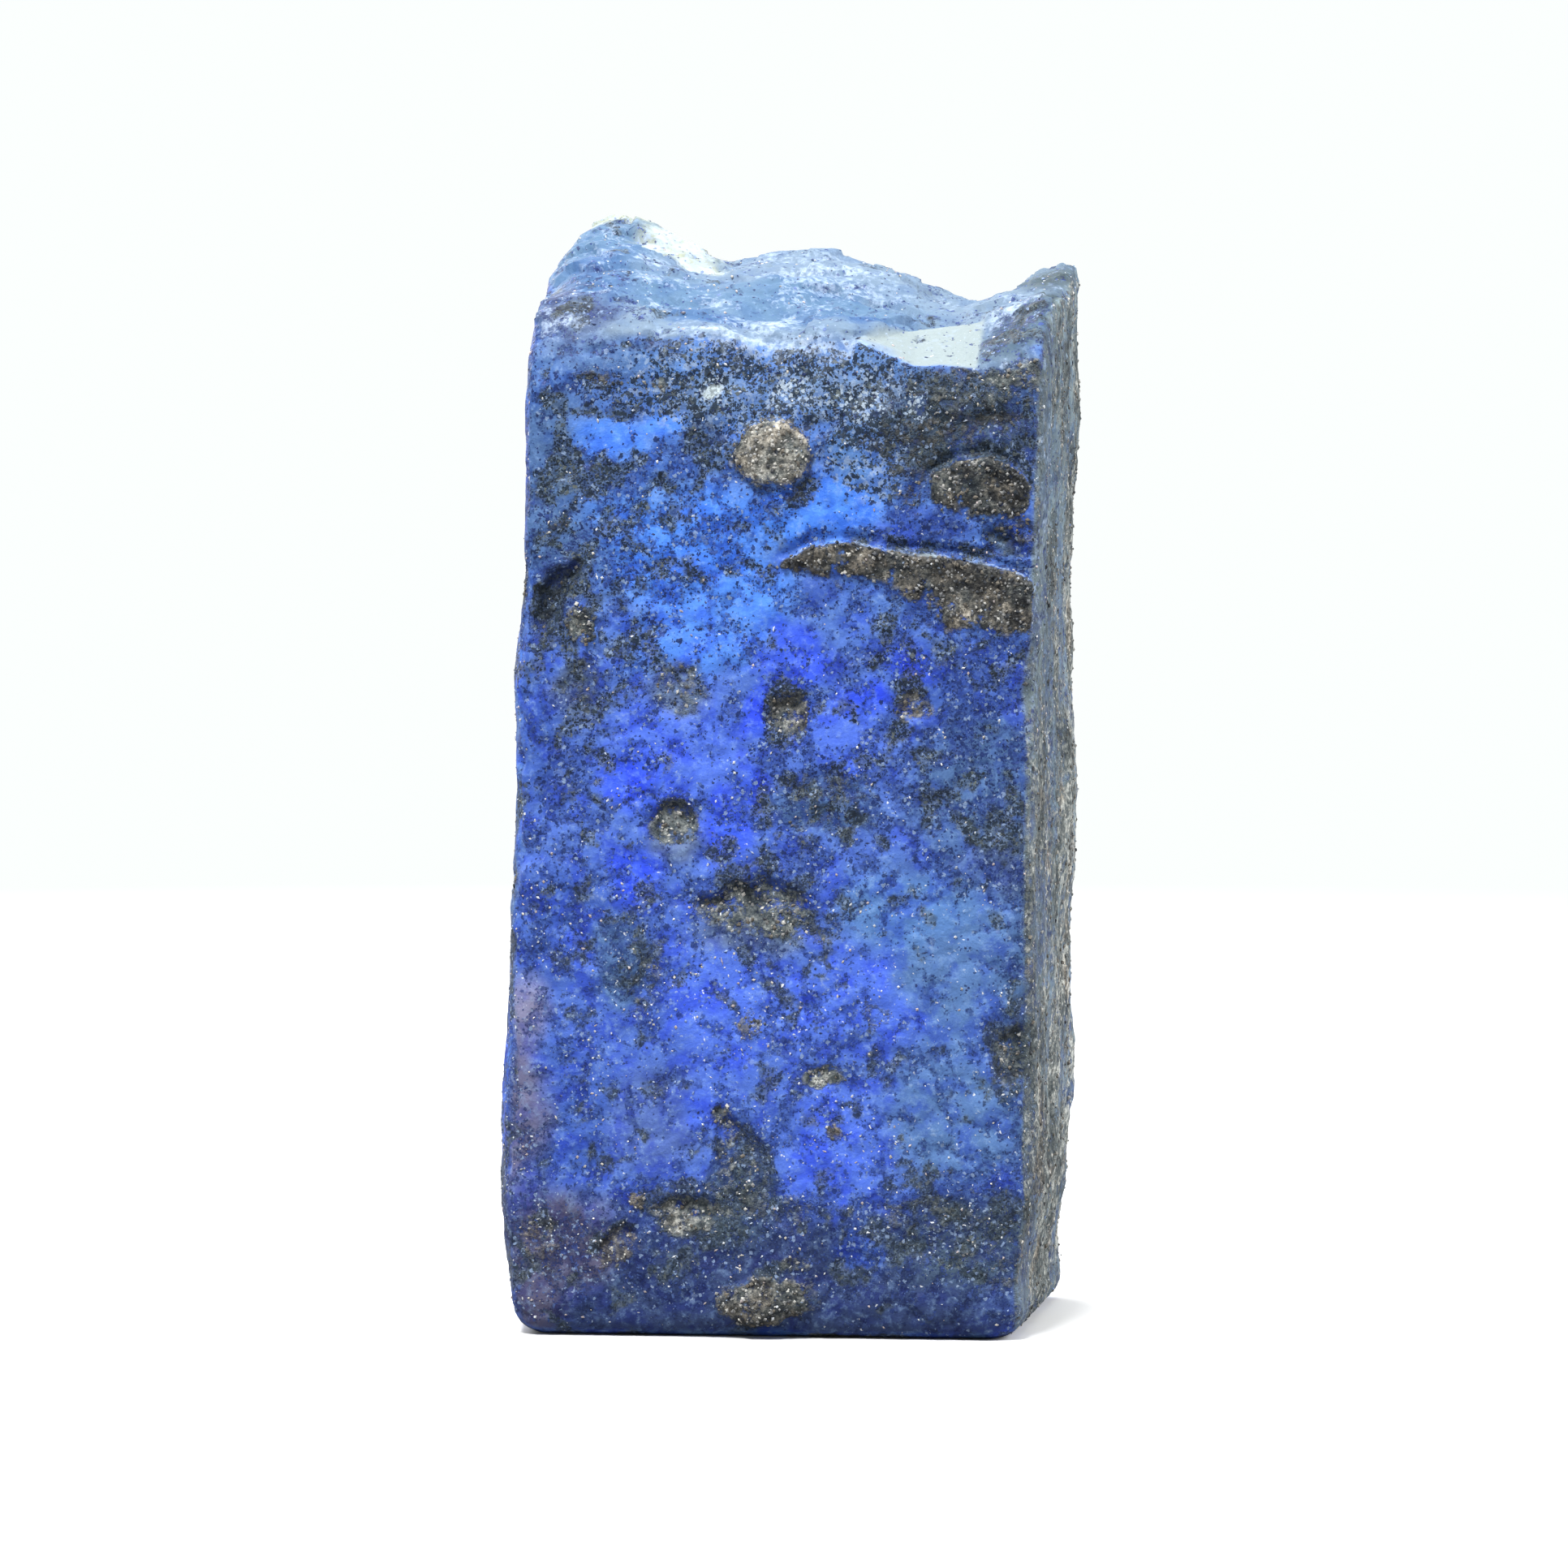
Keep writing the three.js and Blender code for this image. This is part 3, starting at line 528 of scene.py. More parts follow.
def sculpt(points, normals, crust):
    front = smoothstep(-normals[:, 1], 0.6, 0.85)
    side = smoothstep(np.abs(normals[:, 0]), 0.6, 0.85)
    top = smoothstep(normals[:, 2], 0.35, 0.75)
    loose = wandered(points, "loose")
    crisp = wandered(points, "crisp")
    lift = np.zeros(len(points))
    inside = front * smoothstep(fromUprightEdge(points), 0.0, 1.0)
    for mark in frontMarks.values():
        lift += inside * liftOf(mark, *(crisp if mark.get("crisp") else loose))
    for shelf in frontShelves.values():
        along, below, ends = shelfCoordinates(*crisp, shelf)
        raised = smoothstep(below, -0.12, 0.14) * np.clip(1 - along, 0, 1) ** 0.8
        raised *= 1 - 0.65 * smoothstep(points[:, 0], 11.5, 13.6)
        groove = np.exp(-((below + 0.35) / 0.3) ** 2)
        lift += front * ends * (shelf["lift"] * raised - relief["groove"] * groove)

    # the walls' own lumps, hollows, grains and streaks
    height, crevice = lumps(points)
    lumpy = relief["lump"] * height - relief["crevice"] * crevice
    lift += lumpy * (0.22 + 0.78 * inside) * (1 - top)
    lift += front * relief["swell"] * swell(points, 3.4, 33) + relief["fine"] * rough(points, 0.9, 35)
    hollow = relief["hollow"] * hollows(points) * (1 - smoothstep(-normals[:, 1], 0.1, 0.5))
    lift -= hollow * (1 - top) * (1 - 0.6 * side)
    near, _, _, tone = cells(points, 0.5, 50)
    grainy = 0.3 + 0.7 * crust
    lift += grainy * (relief["grain"] * (0.45 - near) + relief["grainStep"] * tone)
    near, _, _, tone = cells(points, 1.7, 60)
    pitted = (tone > 0.45) * (1 - smoothstep(near, 0.15, 0.5))
    lift -= relief["pinhole"] * pitted * (1 - top)
    streaked = points * (1, 1, 0.22)
    streaks = relief["streak"] * rough(streaked, 1.3, 36) + relief["fineStreak"] * swell(streaked, 0.4, 37)
    lift += side * streaks

    # the small broken faces of the top, and its smooth plane
    _, _, tilt, tone = cells(points, 3.1, 70)
    hackle = relief["facet"] * tilt + relief["facetStep"] * tone
    _, _, tilt, tone = cells(points, 1.3, 80)
    hackle += relief["smallFacet"] * tilt + relief["smallStep"] * tone
    facet = facetMask(points) * smoothstep(normals[:, 2], 0.0, 0.3)
    lift = (lift + top * hackle) * (1 - facet) * smoothstep(points[:, 2], 0.0, 1.2)
    moved = points + normals * lift[:, None]
    worn = relief["wornFoot"]
    beside = worn["depth"] * smoothstep(moved[:, 0], worn["from"], worn["to"])
    moved[:, 0] -= beside * np.exp(-((moved[:, 2] - worn["height"]) / worn["spread"]) ** 2)
    x, y, z = smoothFacet["at"]
    plane = z + smoothFacet["slope"][0] * (moved[:, 0] - x) + smoothFacet["slope"][1] * (moved[:, 1] - y)
    plane += smoothFacet["bend"] * np.maximum(smoothFacet["bentFrom"] - moved[:, 0], 0)
    moved[:, 2] += facet * np.clip(plane - moved[:, 2], -1.0, 1.0)
    moved[:, 2] = np.maximum(moved[:, 2], 0)
    return moved


def frontLooks(points, loose, crisp, crevice, frost):
    count = len(points)
    blue = blended(everywhere("wallBelow", count), colourOf("wallAbove"), smoothstep(points[:, 2], 32, 42))
    for place in frontGround:
        blue = blended(blue, colourOf(place["ground"]), spotMask(*loose, place, 0.5, 1.15))
    # painted shade: more dark flecks in the crevices between the lumps
    flecked = amounts["frontFlecks"] + 0.12 * rough(points, 3.0, 112) + 0.3 * crevice
    for place in frontFlecks:
        flecked = flecked + place["dark"] * spotMask(*loose, place, 0.5, 1.2)
    covered = np.zeros(count)
    paleness = np.full(count, 0.15)
    warmth = np.full(count, 0.3)
    powderAndHighlight = frost
    for mark in frontMarks.values():
        r, b = spotCoordinates(*(crisp if mark.get("crisp") else loose), mark)
        mask = 1 - smoothstep(r, 0.7, 1.25)
        covered = np.maximum(covered, mask * mark.get("crust", 0))
        paleness = blended(paleness, mark.get("tan", 0.15), np.minimum(mask * 1.5, 1))
        warmth = blended(warmth, mark.get("warm", 0.3), mask)
        powderAndHighlight = np.maximum(powderAndHighlight, mask * mark.get("frost", 0))
        heart = 1 - smoothstep(np.hypot(r, 0.5 * (b + 0.3)), 0.15, 0.85)
        paleness = paleness + mark.get("heart", 0) * heart
        if mark["lift"] < -0.2:         # painted shade: more dark flecks along the upper edge of a deep one
            shadedUpperEdge = np.exp(-((r - 1.05) / 0.35) ** 2) * smoothstep(b, -0.1, 0.7)
            flecked = flecked + 0.45 * shadedUpperEdge
    for shelf in frontShelves.values():
        along, below, ends = shelfCoordinates(*crisp, shelf)
        frayed = along + shelf["fray"] * rough(points, 0.9, 120)
        body = ends * smoothstep(below, -0.1, 0.08) * (1 - smoothstep(frayed, shelf["fade"], 1.2))
        covered = np.maximum(covered * (1 - body), body * shelf["crust"])
        shade = np.full(count, shelf["tan"])
        for place in shelf["paler"]:
            shade = shade + 0.38 * spotMask(points[:, 0], points[:, 2], place, 0.4, 1.3)
        paleness = blended(paleness, shade, body)
        warmth = blended(warmth, shelf["warm"], body)
        # a painted highlight along each shelf's upper rim, broken in places, laid in with the powder
        broken = 0.45 + 0.55 * smoothstep(swell(points, 1.6, 126), -0.5, 0.3)
        rim = ends * broken * np.exp(-((below + 0.03) / 0.11) ** 2) * (0.8 + 0.4 * swell(points, 0.9, 113))
        powderAndHighlight = np.maximum(powderAndHighlight, rim * shelf["rim"])
        # painted shade: more dark flecks in the groove just above the shelves' rims, right of 8 mm across
        flecked = flecked + 0.5 * ends * np.exp(-((below + 0.4) / 0.35) ** 2) * (points[:, 0] > 8)
    return {"ground": blue, "dark": flecked, "crust": covered, "tan": paleness, "warm": warmth,
            "frost": powderAndHighlight}


def rightLooks(points):  # grey, with upright streaks
    y, z = points[:, 1], points[:, 2]
    nearFront = 1 - smoothstep(y + 1.2 * rough(points, 3.0, 114), -6.5, -2.5)
    nearBack = smoothstep(y + 1.2 * rough(points, 3.0, 115), 3.0, 7.0)
    streaky = points * (1, 1, 0.55)
    upper = smoothstep(z, 26, 38)
    rind = amounts["rightCrust"] + 0.34 * rough(streaky, 2.4, 108) - 0.28 * nearFront * upper
    blotches = 0.62 + 0.32 * rough(streaky, 1.7, 109) + 0.22 * nearBack - 0.16 * nearFront
    blotches += 0.12 * (1 - smoothstep(z, 24, 36) - smoothstep(z, 32, 42))
    grey = everywhere("ash", len(points))
    grey = blended(grey, colourOf("rightGrey"), smoothstep(rough(streaky, 2.8, 116), -0.2, 0.4))
    veil = nearFront * (0.3 + 0.7 * upper) * smoothstep(rough(streaky, 1.1, 119), -0.3, 0.5)
    return {
        "ground": grey * (1 - 0.42 * nearFront[:, None]) * (0.87, 0.92, 0.81),
        "dark": amounts["rightFlecks"] + 0.3 * rough(points, 2.2, 117),
        "crust": np.clip(rind, 0, 1),
        "tan": blotches,
        "warm": 0.05 + 0.40 * smoothstep(rough(streaky, 2.2, 118), 0.1, 0.7),
        "frost": 0.05 + 0.20 * veil,
    }


def topLooks(points):  # clean blue with powdery places, and brighter lit than the walls
    turned = points @ turnedAxes
    across = points[:, 0] + 0.6 * rough(points, 2.2, 95, 4) + 0.3 * rough(turned, 0.9, 97)
    back = points[:, 1] + 0.6 * rough(points, 2.2, 96, 4) + 0.3 * rough(turned, 0.9, 98)
    blue = everywhere("mist", len(points))
    clean = amounts["topFlecks"] + 0.22 * smoothstep(rough(points, 2.4, 128), 0.0, 0.8)
    powdered = amounts["topFrost"] * smoothstep(rough(points, 2.0, 110), 0.15, 0.95)
    for place in topPlaces:
        mask = spotMask(across, back, place, 0.4, 1.3)
        if "ground" in place:
            blue = blended(blue, colourOf(place["ground"]), mask)
        clean = clean + mask * place.get("dark", 0)
        powdered = np.maximum(powdered, mask * place.get("frost", 0))
    smooth = facetMask(points)
    return {
        "ground": blended(blue * (0.745, 0.66, 0.44), colourOf("smoothGrey"), smooth),
        "dark": clean * (1 - 0.7 * smooth),
        "frost": powdered * 0.72 * (1 - smooth) + 0.1 * smooth,
    }


def paint(points, normals):
    x, z = points[:, 0], points[:, 2]
    front = smoothstep(-normals[:, 1], 0.45, 0.8)
    top = smoothstep(normals[:, 2], 0.3, 0.7)
    creep = smoothstep(x + 1.6 * rough(points, 2.6, 125), 11.6, 13.6) * smoothstep(normals[:, 1], 0.3, 0.7)
    right = np.maximum(smoothstep(normals[:, 0], 0.5, 0.75), 0.8 * creep)
    loose = wandered(points, "loose")
    crisp = wandered(points, "crisp")
    crevice = lumps(points)[1]
    hollow = hollows(points)

    # all over at first: broad clouds of the same blues
    ground = everywhere("violet", len(points))
    for seed, name, low in wallClouds:
        cloud = smoothstep(rough(points, 6.5, seed), low, low + 0.5)
        ground = blended(ground, colourOf(name), cloud)
    flecked = amounts["wallFlecks"] + 0.38 * rough(points, 4.0, 105)
    crusted = smoothstep(rough(points, 5.0, 106), 0.5, 0.95)
    skin = {
        "ground": ground,
        # painted shade: the dark flecks thicken in the crevices between lumps and in the hollows
        "dark": flecked + 0.3 * crevice + 0.25 * smoothstep(hollow, 0.0, 0.3),
        "crust": np.maximum(crusted * amounts["wallCrust"], amounts["hollowCrust"] * hollow),
        "tan": 0.25 + 0.25 * rough(points, 2.5, 107),
        "warm": 0.3,
        "frost": amounts["wallFrost"] * smoothstep(rough(points, 1.2, 111), 0.4, 1.0),
    }

    def lay(looks, share):
        for name, values in looks.items():
            skin[name] = blended(skin[name], values, share)

    looks = frontLooks(points, loose, crisp, crevice, skin["frost"])
    covered = looks["crust"]
    lay(looks, front)

    # rubbed white along the lip; along the left upright edge a pale band, partly wear and partly painted
    # highlight
    lip = smoothstep(z + 0.25 * rough(points, 1.2, 132), 49.9, 50.9)
    lip = lip * front * smoothstep(x, -7, -3) * (x < 6)
    edge = (x < 0) * (1 - smoothstep(fromUprightEdge(points), -0.6, 0.5)) * front
    edge = amounts["edgeWearAndHighlight"] * edge * smoothstep(rough(points, 1.4, 124), -0.3, 0.5)
    skin["frost"] = np.maximum(np.maximum(skin["frost"], amounts["lipFrost"] * lip), edge)

    looks = rightLooks(points)
    lay({"ground": looks.pop("ground")}, right * 0.9)
    lay(looks, right)
    lay(topLooks(points), top)
    dark, tan, warm, frost = (skin[name] for name in ("dark", "tan", "warm", "frost"))
    crust = skin["crust"] * (1 - 0.9 * top)

    # where pale specks and painted glints lie, more of them low on the front: partly pale crystals, partly
    # painted glints
    specksAndGlints = amounts["specksAndGlints"] + 0.3 * smoothstep(rough(points, 5.0, 127), -0.5, 0.6)
    lowSpecksAndGlints = smoothstep(-z, -34, -16) * (0.5 + 0.6 * smoothstep(rough(points, 2.2, 129), -0.4, 0.8))
    lowSpecksAndGlints = (0.12 + amounts["lowSpecksAndGlints"] * lowSpecksAndGlints + 0.2 * covered) * (0.45 + 0.55 * smoothstep(z, 1.0, 4.0))
    specksAndGlints = blended(specksAndGlints, lowSpecksAndGlints, front)
    grit = smoothstep(crust + 0.12 * rough(points, 0.9, 122), 0.35, 0.85) * (1 - 0.8 * right)
    clump = rough(points @ turnedAxes, 1.15, 131, 4) + 1.1 * (dark - 0.5)
    peppered = front * np.max([spotMask(*loose, place, 0.7, 1.15) for place in pepperedPlaces], axis=0)
    icy = front * np.max([spotMask(*loose, place, 0.3, 1.2) for place in icyPlaces], axis=0)
    calm = np.maximum(0.35 * peppered, 0.5 * top + 0.5 * facetMask(points) * top)
    return {
        "ground": skin["ground"],
        "grit": np.clip(grit * (1 - 0.7 * frost), 0, 1),
        "dark": np.clip(dark, 0, 1),
        "clump": smoothstep(clump, 0.05, 1.0),
        "calm": calm,
        "peppered": peppered,
        "icy": icy,
        "crust": np.clip(crust, 0, 1),
        "tan": np.clip(tan, -0.3, 1),
        "warm": np.clip(warm, 0, 1),
        "frost": np.clip(frost, 0, 1),
        "specksAndGlints": np.clip(specksAndGlints * (1 - 0.6 * top * smoothstep(x, -6, 0)), 0, 1),
    }


def storeChannels(mesh, channels):
    for name, values in channels.items():
        if values.ndim == 2:
            layer = mesh.attributes.new(name, "FLOAT_COLOR", "POINT")
            layer.data.foreach_set("color", np.hstack([values, np.ones((len(values), 1))]).ravel())
        else:
            layer = mesh.attributes.new(name, "FLOAT", "POINT")
            layer.data.foreach_set("value", values)


class Nodes:
    def __init__(self, tree):
        self.tree = tree

    def add(self, kind, *links, **settings):
        node = self.tree.nodes.new(kind)
        for key, value in settings.items():
            setattr(node, key, value)
        for socket, source in links:
            self.put(node.inputs[socket], source)
        return node

    def put(self, socket, source):
        if isinstance(source, bpy.types.NodeSocket):
            self.tree.links.new(source, socket)
        else:
            socket.default_value = source

    def maths(self, operation, a, b):
        return self.add("ShaderNodeMath", (0, a), (1, b), operation=operation).outputs[0]

    def plus(self, a, b):
        return self.maths("ADD", a, b)

    def times(self, a, b):
        return self.maths("MULTIPLY", a, b)

    def span(self, value, low, high, toLow=0.0, toHigh=1.0):
        node = self.add("ShaderNodeMapRange", ("Value", value), ("From Min", low), ("From Max", high),
                        ("To Min", toLow), ("To Max", toHigh), interpolation_type="SMOOTHSTEP")
        return node.outputs["Result"]

    def seen(self, byCamera, byOthers):  # one value for the camera's own rays, another for all that lights
        ray = self.add("ShaderNodeLightPath").outputs["Is Camera Ray"]
        node = self.add("ShaderNodeMapRange", ("Value", ray), ("To Min", byOthers), ("To Max", byCamera))
        return node.outputs["Result"]

    def mix(self, share, a, b, blend="MIX"):  # its colour sockets are numbers 6, 7 and 2
        node = self.add("ShaderNodeMix", data_type="RGBA", blend_type=blend)
        self.put(node.inputs[0], share)
        self.put(node.inputs[6], a)
        self.put(node.inputs[7], b)
        return node.outputs[2]

    def noise(self, place, size, detail=2.0, roughness=0.5):
        return self.add("ShaderNodeTexNoise", ("Vector", place), ("Scale", 1 / (size * mm)),
                        ("Detail", detail), ("Roughness", roughness)).outputs[0]

    def attribute(self, name, output="Fac"):
        return self.add("ShaderNodeAttribute", attribute_name=name).outputs[output]

    def ramp(self, value, *stops):
        node = self.add("ShaderNodeValToRGB", ("Fac", value))
        elements = node.color_ramp.elements
        while len(elements) < len(stops):
            elements.new(0.5)
        for element, (place, *colour) in zip(elements, stops):
            element.position = place
            element.color = screen(*colour)
        return node.outputs["Color"]


def screen(*values):
    return (*fromScreen(values), 1.0)


def evenly(value):
    return (value, value, value, 1)


def startMaterial(name):
    material = bpy.data.materials.new(name)
    material.use_nodes = True
    return material, Nodes(material.node_tree), material.node_tree.nodes["Principled BSDF"]


def makeSpeckle():  # angular flecks, one to a cell, of which a share shows
    group = bpy.data.node_groups.new("speckle", "ShaderNodeTree")
    for name, kind in (("Place", "NodeSocketVector"), ("Cells per metre", "NodeSocketFloat"),
                       ("Share", "NodeSocketFloat"), ("Reach", "NodeSocketFloat")):
        group.interface.new_socket(name=name, in_out="INPUT", socket_type=kind)
    for name in ("Mask", "Tone"):
        group.interface.new_socket(name=name, in_out="OUTPUT", socket_type="NodeSocketFloat")
    n = Nodes(group)
    inputs = n.add("NodeGroupInput").outputs
    outputs = n.add("NodeGroupOutput").inputs
    density = inputs["Cells per metre"]
    ragged = n.add("ShaderNodeTexNoise", ("Vector", inputs["Place"]), ("Scale", n.times(density, 1.3)),
                   ("Detail", 2.0)).outputs["Color"]
    centred = n.add("ShaderNodeVectorMath", (0, ragged), (1, (0.5, 0.5, 0.5)),
                    operation="SUBTRACT").outputs[0]
    pushed = n.add("ShaderNodeVectorMath", (0, centred), ("Scale", n.maths("DIVIDE", 1.3, density)),
                   operation="SCALE").outputs[0]
    place = n.add("ShaderNodeVectorMath", (0, inputs["Place"]), (1, pushed), operation="ADD").outputs[0]
    cell = n.add("ShaderNodeTexVoronoi", ("Vector", place), ("Scale", density)).outputs
    chance = n.add("ShaderNodeSeparateColor", ("Color", cell["Color"])).outputs
    shown = n.maths("LESS_THAN", chance[0], inputs["Share"])
    body = n.span(n.maths("SUBTRACT", inputs["Reach"], cell["Distance"]), 0.0, 0.10)
    n.put(outputs["Mask"], n.times(body, shown))
    n.put(outputs["Tone"], chance[1])
    return group


speckle = makeSpeckle()

# The rock's patterns: their sizes in mm, and its finish.
pattern = {
    "cloud": 1.3, "fine": 0.4, "greyed": 0.45, "cluster": 1.0, "grit": 0.30, "ragged": 0.5, "olive": 0.7,
    "huddle": 0.6, "smallFleck": 0.12, "largeFleck": 0.20, "broadFleck": 0.30, "paleFleck": 0.22,
    "crystal": 0.30, "patch": 0.9, "warmth": 1.4, "edge": 0.6, "specksAndGlints": 0.8, "paleSpeck": 0.26, "glint": 0.45,
    "bump": 0.12,
}
finish = {"blue": 0.62, "fleck": 0.42, "matrix": 0.68, "glint": 0.2, "specular": 0.22, "bumpStrength": 0.8}


def makeRock():
    rock, n, shader = startMaterial("blueRock")
    place = n.add("ShaderNodeTexCoord").outputs["Object"]
    height = n.add("ShaderNodeSeparateXYZ", ("Vector", place)).outputs["Z"]
    ground = n.attribute("ground", "Color")
    channels = ("dark", "clump", "calm", "peppered", "icy", "crust", "tan", "warm", "frost", "specksAndGlints")
    dark, clump, calm, peppered, icy, crust, tan, warm, frost, specksAndGlints = (n.attribute(name) for name in channels)

    def noise(name, detail=2.0, roughness=0.5):
        return n.noise(place, pattern[name], detail, roughness)

    def flecked(name, share, reach):
        node = n.add("ShaderNodeGroup", node_tree=speckle)
        n.put(node.inputs["Place"], place)
        n.put(node.inputs["Cells per metre"], 1 / (pattern[name] * mm))
        n.put(node.inputs["Share"], share)
        n.put(node.inputs["Reach"], reach)
        return node.outputs

    def peppery(plain, band):  # one value on the plain walls, another where it is peppered
        return n.span(peppered, 0.0, 1.0, plain, band)

    # the blue ground, mottled with deeper and paler blue
    fine = noise("fine", 4.0, 0.65)
    upper = n.span(height, 34 * mm, 44 * mm)
    deeper = n.mix(1.0, ground, n.mix(upper, (0.54, 0.60, 0.98, 1), (0.56, 0.68, 0.90, 1)), "MULTIPLY")
    paler = n.mix(0.3, ground, screen(150, 190, 240))
    lively = n.maths("SUBTRACT", 1.0, calm)
    colour = n.mix(n.times(n.span(noise("cloud", 3.0), 0.44, 0.64), lively), ground, deeper)
    colour = n.mix(n.times(n.span(fine, 0.46, 0.70, 0, 0.7), lively), colour, paler)
    greyed = n.times(n.span(noise("greyed", 4.0, 0.65), 0.50, 0.60, 0, 0.8), peppered)
    colour = n.mix(greyed, colour, screen(152, 174, 206))

    # ragged smudges that only deepen the ground, and slate and olive clumps
    thick = n.plus(noise("cluster", 5.0, 0.62), n.times(n.maths("SUBTRACT", dark, 0.5), 0.34))
    smudge = n.span(thick, 0.46, 0.57)
    grit = noise("grit", 4.0, 0.7)
    shade = n.ramp(grit, (0.32, 112, 128, 168), (0.45, 164, 176, 204), (0.56, 220, 222, 228),
                   (0.70, 255, 255, 240))
    shaded = n.mix(1.0, colour, shade, "MULTIPLY")
    colour = n.mix(n.times(smudge, peppery(0.85, 0.4)), colour, shaded)
    ragged = n.times(n.maths("SUBTRACT", noise("ragged", 4.0, 0.7), 0.5), 2.0)
    deep = n.span(n.plus(clump, ragged), 0.20, 0.85)
    heavy = n.ramp(grit, (0.32, 40, 52, 66), (0.46, 66, 80, 96), (0.56, 92, 108, 124),
                   (0.68, 132, 146, 158), (0.8, 182, 192, 198))
    olive = n.span(noise("olive", 3.0), 0.46, 0.64, 0, 0.7)
    heavy = n.mix(olive, heavy, n.mix(1.0, heavy, (1.05, 0.94, 0.60, 1), "MULTIPLY"))
    colour = n.mix(n.times(deep, peppery(0.6, 0.15)), colour, heavy)

    # powder in it; the same white lays in the painted highlights on the shelves' rims and, in part, on the left
    # upright edge
    powderAndHighlight = n.span(n.plus(frost, n.span(fine, 0.3, 0.7, -0.25, 0.25)), 0.15, 0.85)
    powder = n.mix(n.span(frost, 0.3, 0.8), screen(168, 186, 214), screen(*palette["chalk"]))
    colour = n.mix(powderAndHighlight, colour, powder)

    # dark angular flecks, thickest in the clumps, and a few pale ones
    share = n.plus(n.times(smudge, 0.24), n.times(dark, 0.13))
    share = n.plus(share, n.times(deep, peppery(0.24, 0.36)))
    huddled = n.times(n.span(noise("huddle", 3.0, 0.6), 0.38, 0.62, -0.75, 0.8), peppery(0.4, 1.0))
    share = n.times(share, n.plus(huddled, 1.0))
    small = flecked("smallFleck", n.times(share, 1.35), 0.60)
    large = flecked("largeFleck", n.times(share, peppery(0.35, 0.6)), 0.76)
    broad = flecked("broadFleck", n.times(share, peppery(0.08, 0.26)), 0.70)
    flecks = n.maths("MAXIMUM", small["Mask"], n.maths("MAXIMUM", large["Mask"], broad["Mask"]))
    inBlue = n.ramp(large["Tone"], (0.0, 24, 38, 80), (0.5, 38, 56, 112), (0.8, 56, 78, 146),
                    (1.0, 92, 118, 176))
    inDark = n.ramp(large["Tone"], (0.0, 18, 26, 33), (0.5, 30, 41, 52), (0.85, 52, 62, 68),
                    (1.0, 104, 110, 104))
    fleckTone = n.mix(n.maths("MAXIMUM", deep, peppered), inBlue, inDark)
    strength = n.span(height, 14 * mm, 34 * mm, 0.68, 0.9)
    colour = n.mix(n.times(flecks, strength), colour, fleckTone)
    pale = flecked("paleFleck", n.plus(n.times(smudge, 0.10), n.times(icy, 0.5)), 0.52)["Mask"]
    paleTone = n.mix(icy, screen(138, 160, 196), screen(196, 214, 232))
    colour = n.mix(n.times(pale, 0.75), colour, paleTone)

    # grey-brown matrix, made of grains
    crystals = n.add("ShaderNodeTexVoronoi", ("Vector", place), ("Scale", 1 / (pattern["crystal"] * mm)))
    crystalTone = n.add("ShaderNodeSeparateColor", ("Color", crystals.outputs["Color"])).outputs[0]
    tone = n.plus(n.span(crystalTone, 0.0, 1.0, 0.04, 0.22), n.times(tan, 0.5))
    tone = n.plus(tone, n.span(grit, 0.32, 0.72, -0.06, 0.33))
    tone = n.plus(tone, n.span(noise("patch", 3.0), 0.3, 0.7, -0.16, 0.16))
    cool = n.ramp(tone, (0.0, 24, 30, 40), (0.25, 48, 55, 62), (0.45, 80, 88, 90), (0.65, 120, 126, 126),
                  (0.85, 178, 182, 178), (1.0, 228, 230, 224))
    warmer = n.ramp(tone, (0.0, 28, 29, 32), (0.25, 54, 54, 54), (0.45, 88, 86, 82), (0.65, 130, 124, 114),
                    (0.85, 188, 180, 166), (1.0, 232, 226, 212))
    matrix = n.mix(n.span(n.plus(warm, noise("warmth")), 0.7, 1.2), cool, warmer)
    ends = n.span(noise("edge", 4.0, 0.7), 0.25, 0.75, -0.42, 0.42)
    covers = n.times(n.span(n.plus(crust, ends), 0.30, 0.74), n.span(crust, 0.3, 0.8, 0.55, 1.0))
    colour = n.mix(covers, colour, matrix)

    # powder over it, then pale specks and white glints: partly pale crystals, partly painted glints
    colour = n.mix(n.times(powderAndHighlight, 0.45), colour, powder)
    specksAndGlints = n.times(specksAndGlints, n.span(noise("specksAndGlints", 3.0), 0.40, 0.62, 0.3, 1.6))
    paleSpecks = flecked("paleSpeck", n.times(specksAndGlints, 0.28), 0.28)["Mask"]
    colour = n.mix(n.times(paleSpecks, 0.6), colour, screen(170, 190, 220))
    glint = flecked("glint", n.times(specksAndGlints, 0.40), 0.17)["Mask"]
    colour = n.mix(glint, colour, screen(238, 242, 248))
    n.put(shader.inputs["Base Color"], colour)
    shader.inputs["Specular IOR Level"].default_value = finish["specular"]

    roughness = n.mix(flecks, evenly(finish["blue"]), evenly(finish["fleck"]))
    roughness = n.mix(covers, roughness, evenly(finish["matrix"]))
    roughness = n.mix(glint, roughness, evenly(finish["glint"]))
    n.put(shader.inputs["Roughness"], roughness)

    bumps = n.plus(n.times(fine, 0.8), n.times(flecks, 0.25))
    bumps = n.plus(bumps, n.times(grit, n.plus(n.times(covers, 1.2), 0.5)))
    bump = n.add("ShaderNodeBump", ("Height", bumps), ("Strength", finish["bumpStrength"]),
                 ("Distance", pattern["bump"] * mm))
    n.put(shader.inputs["Normal"], bump.outputs["Normal"])
    return rock


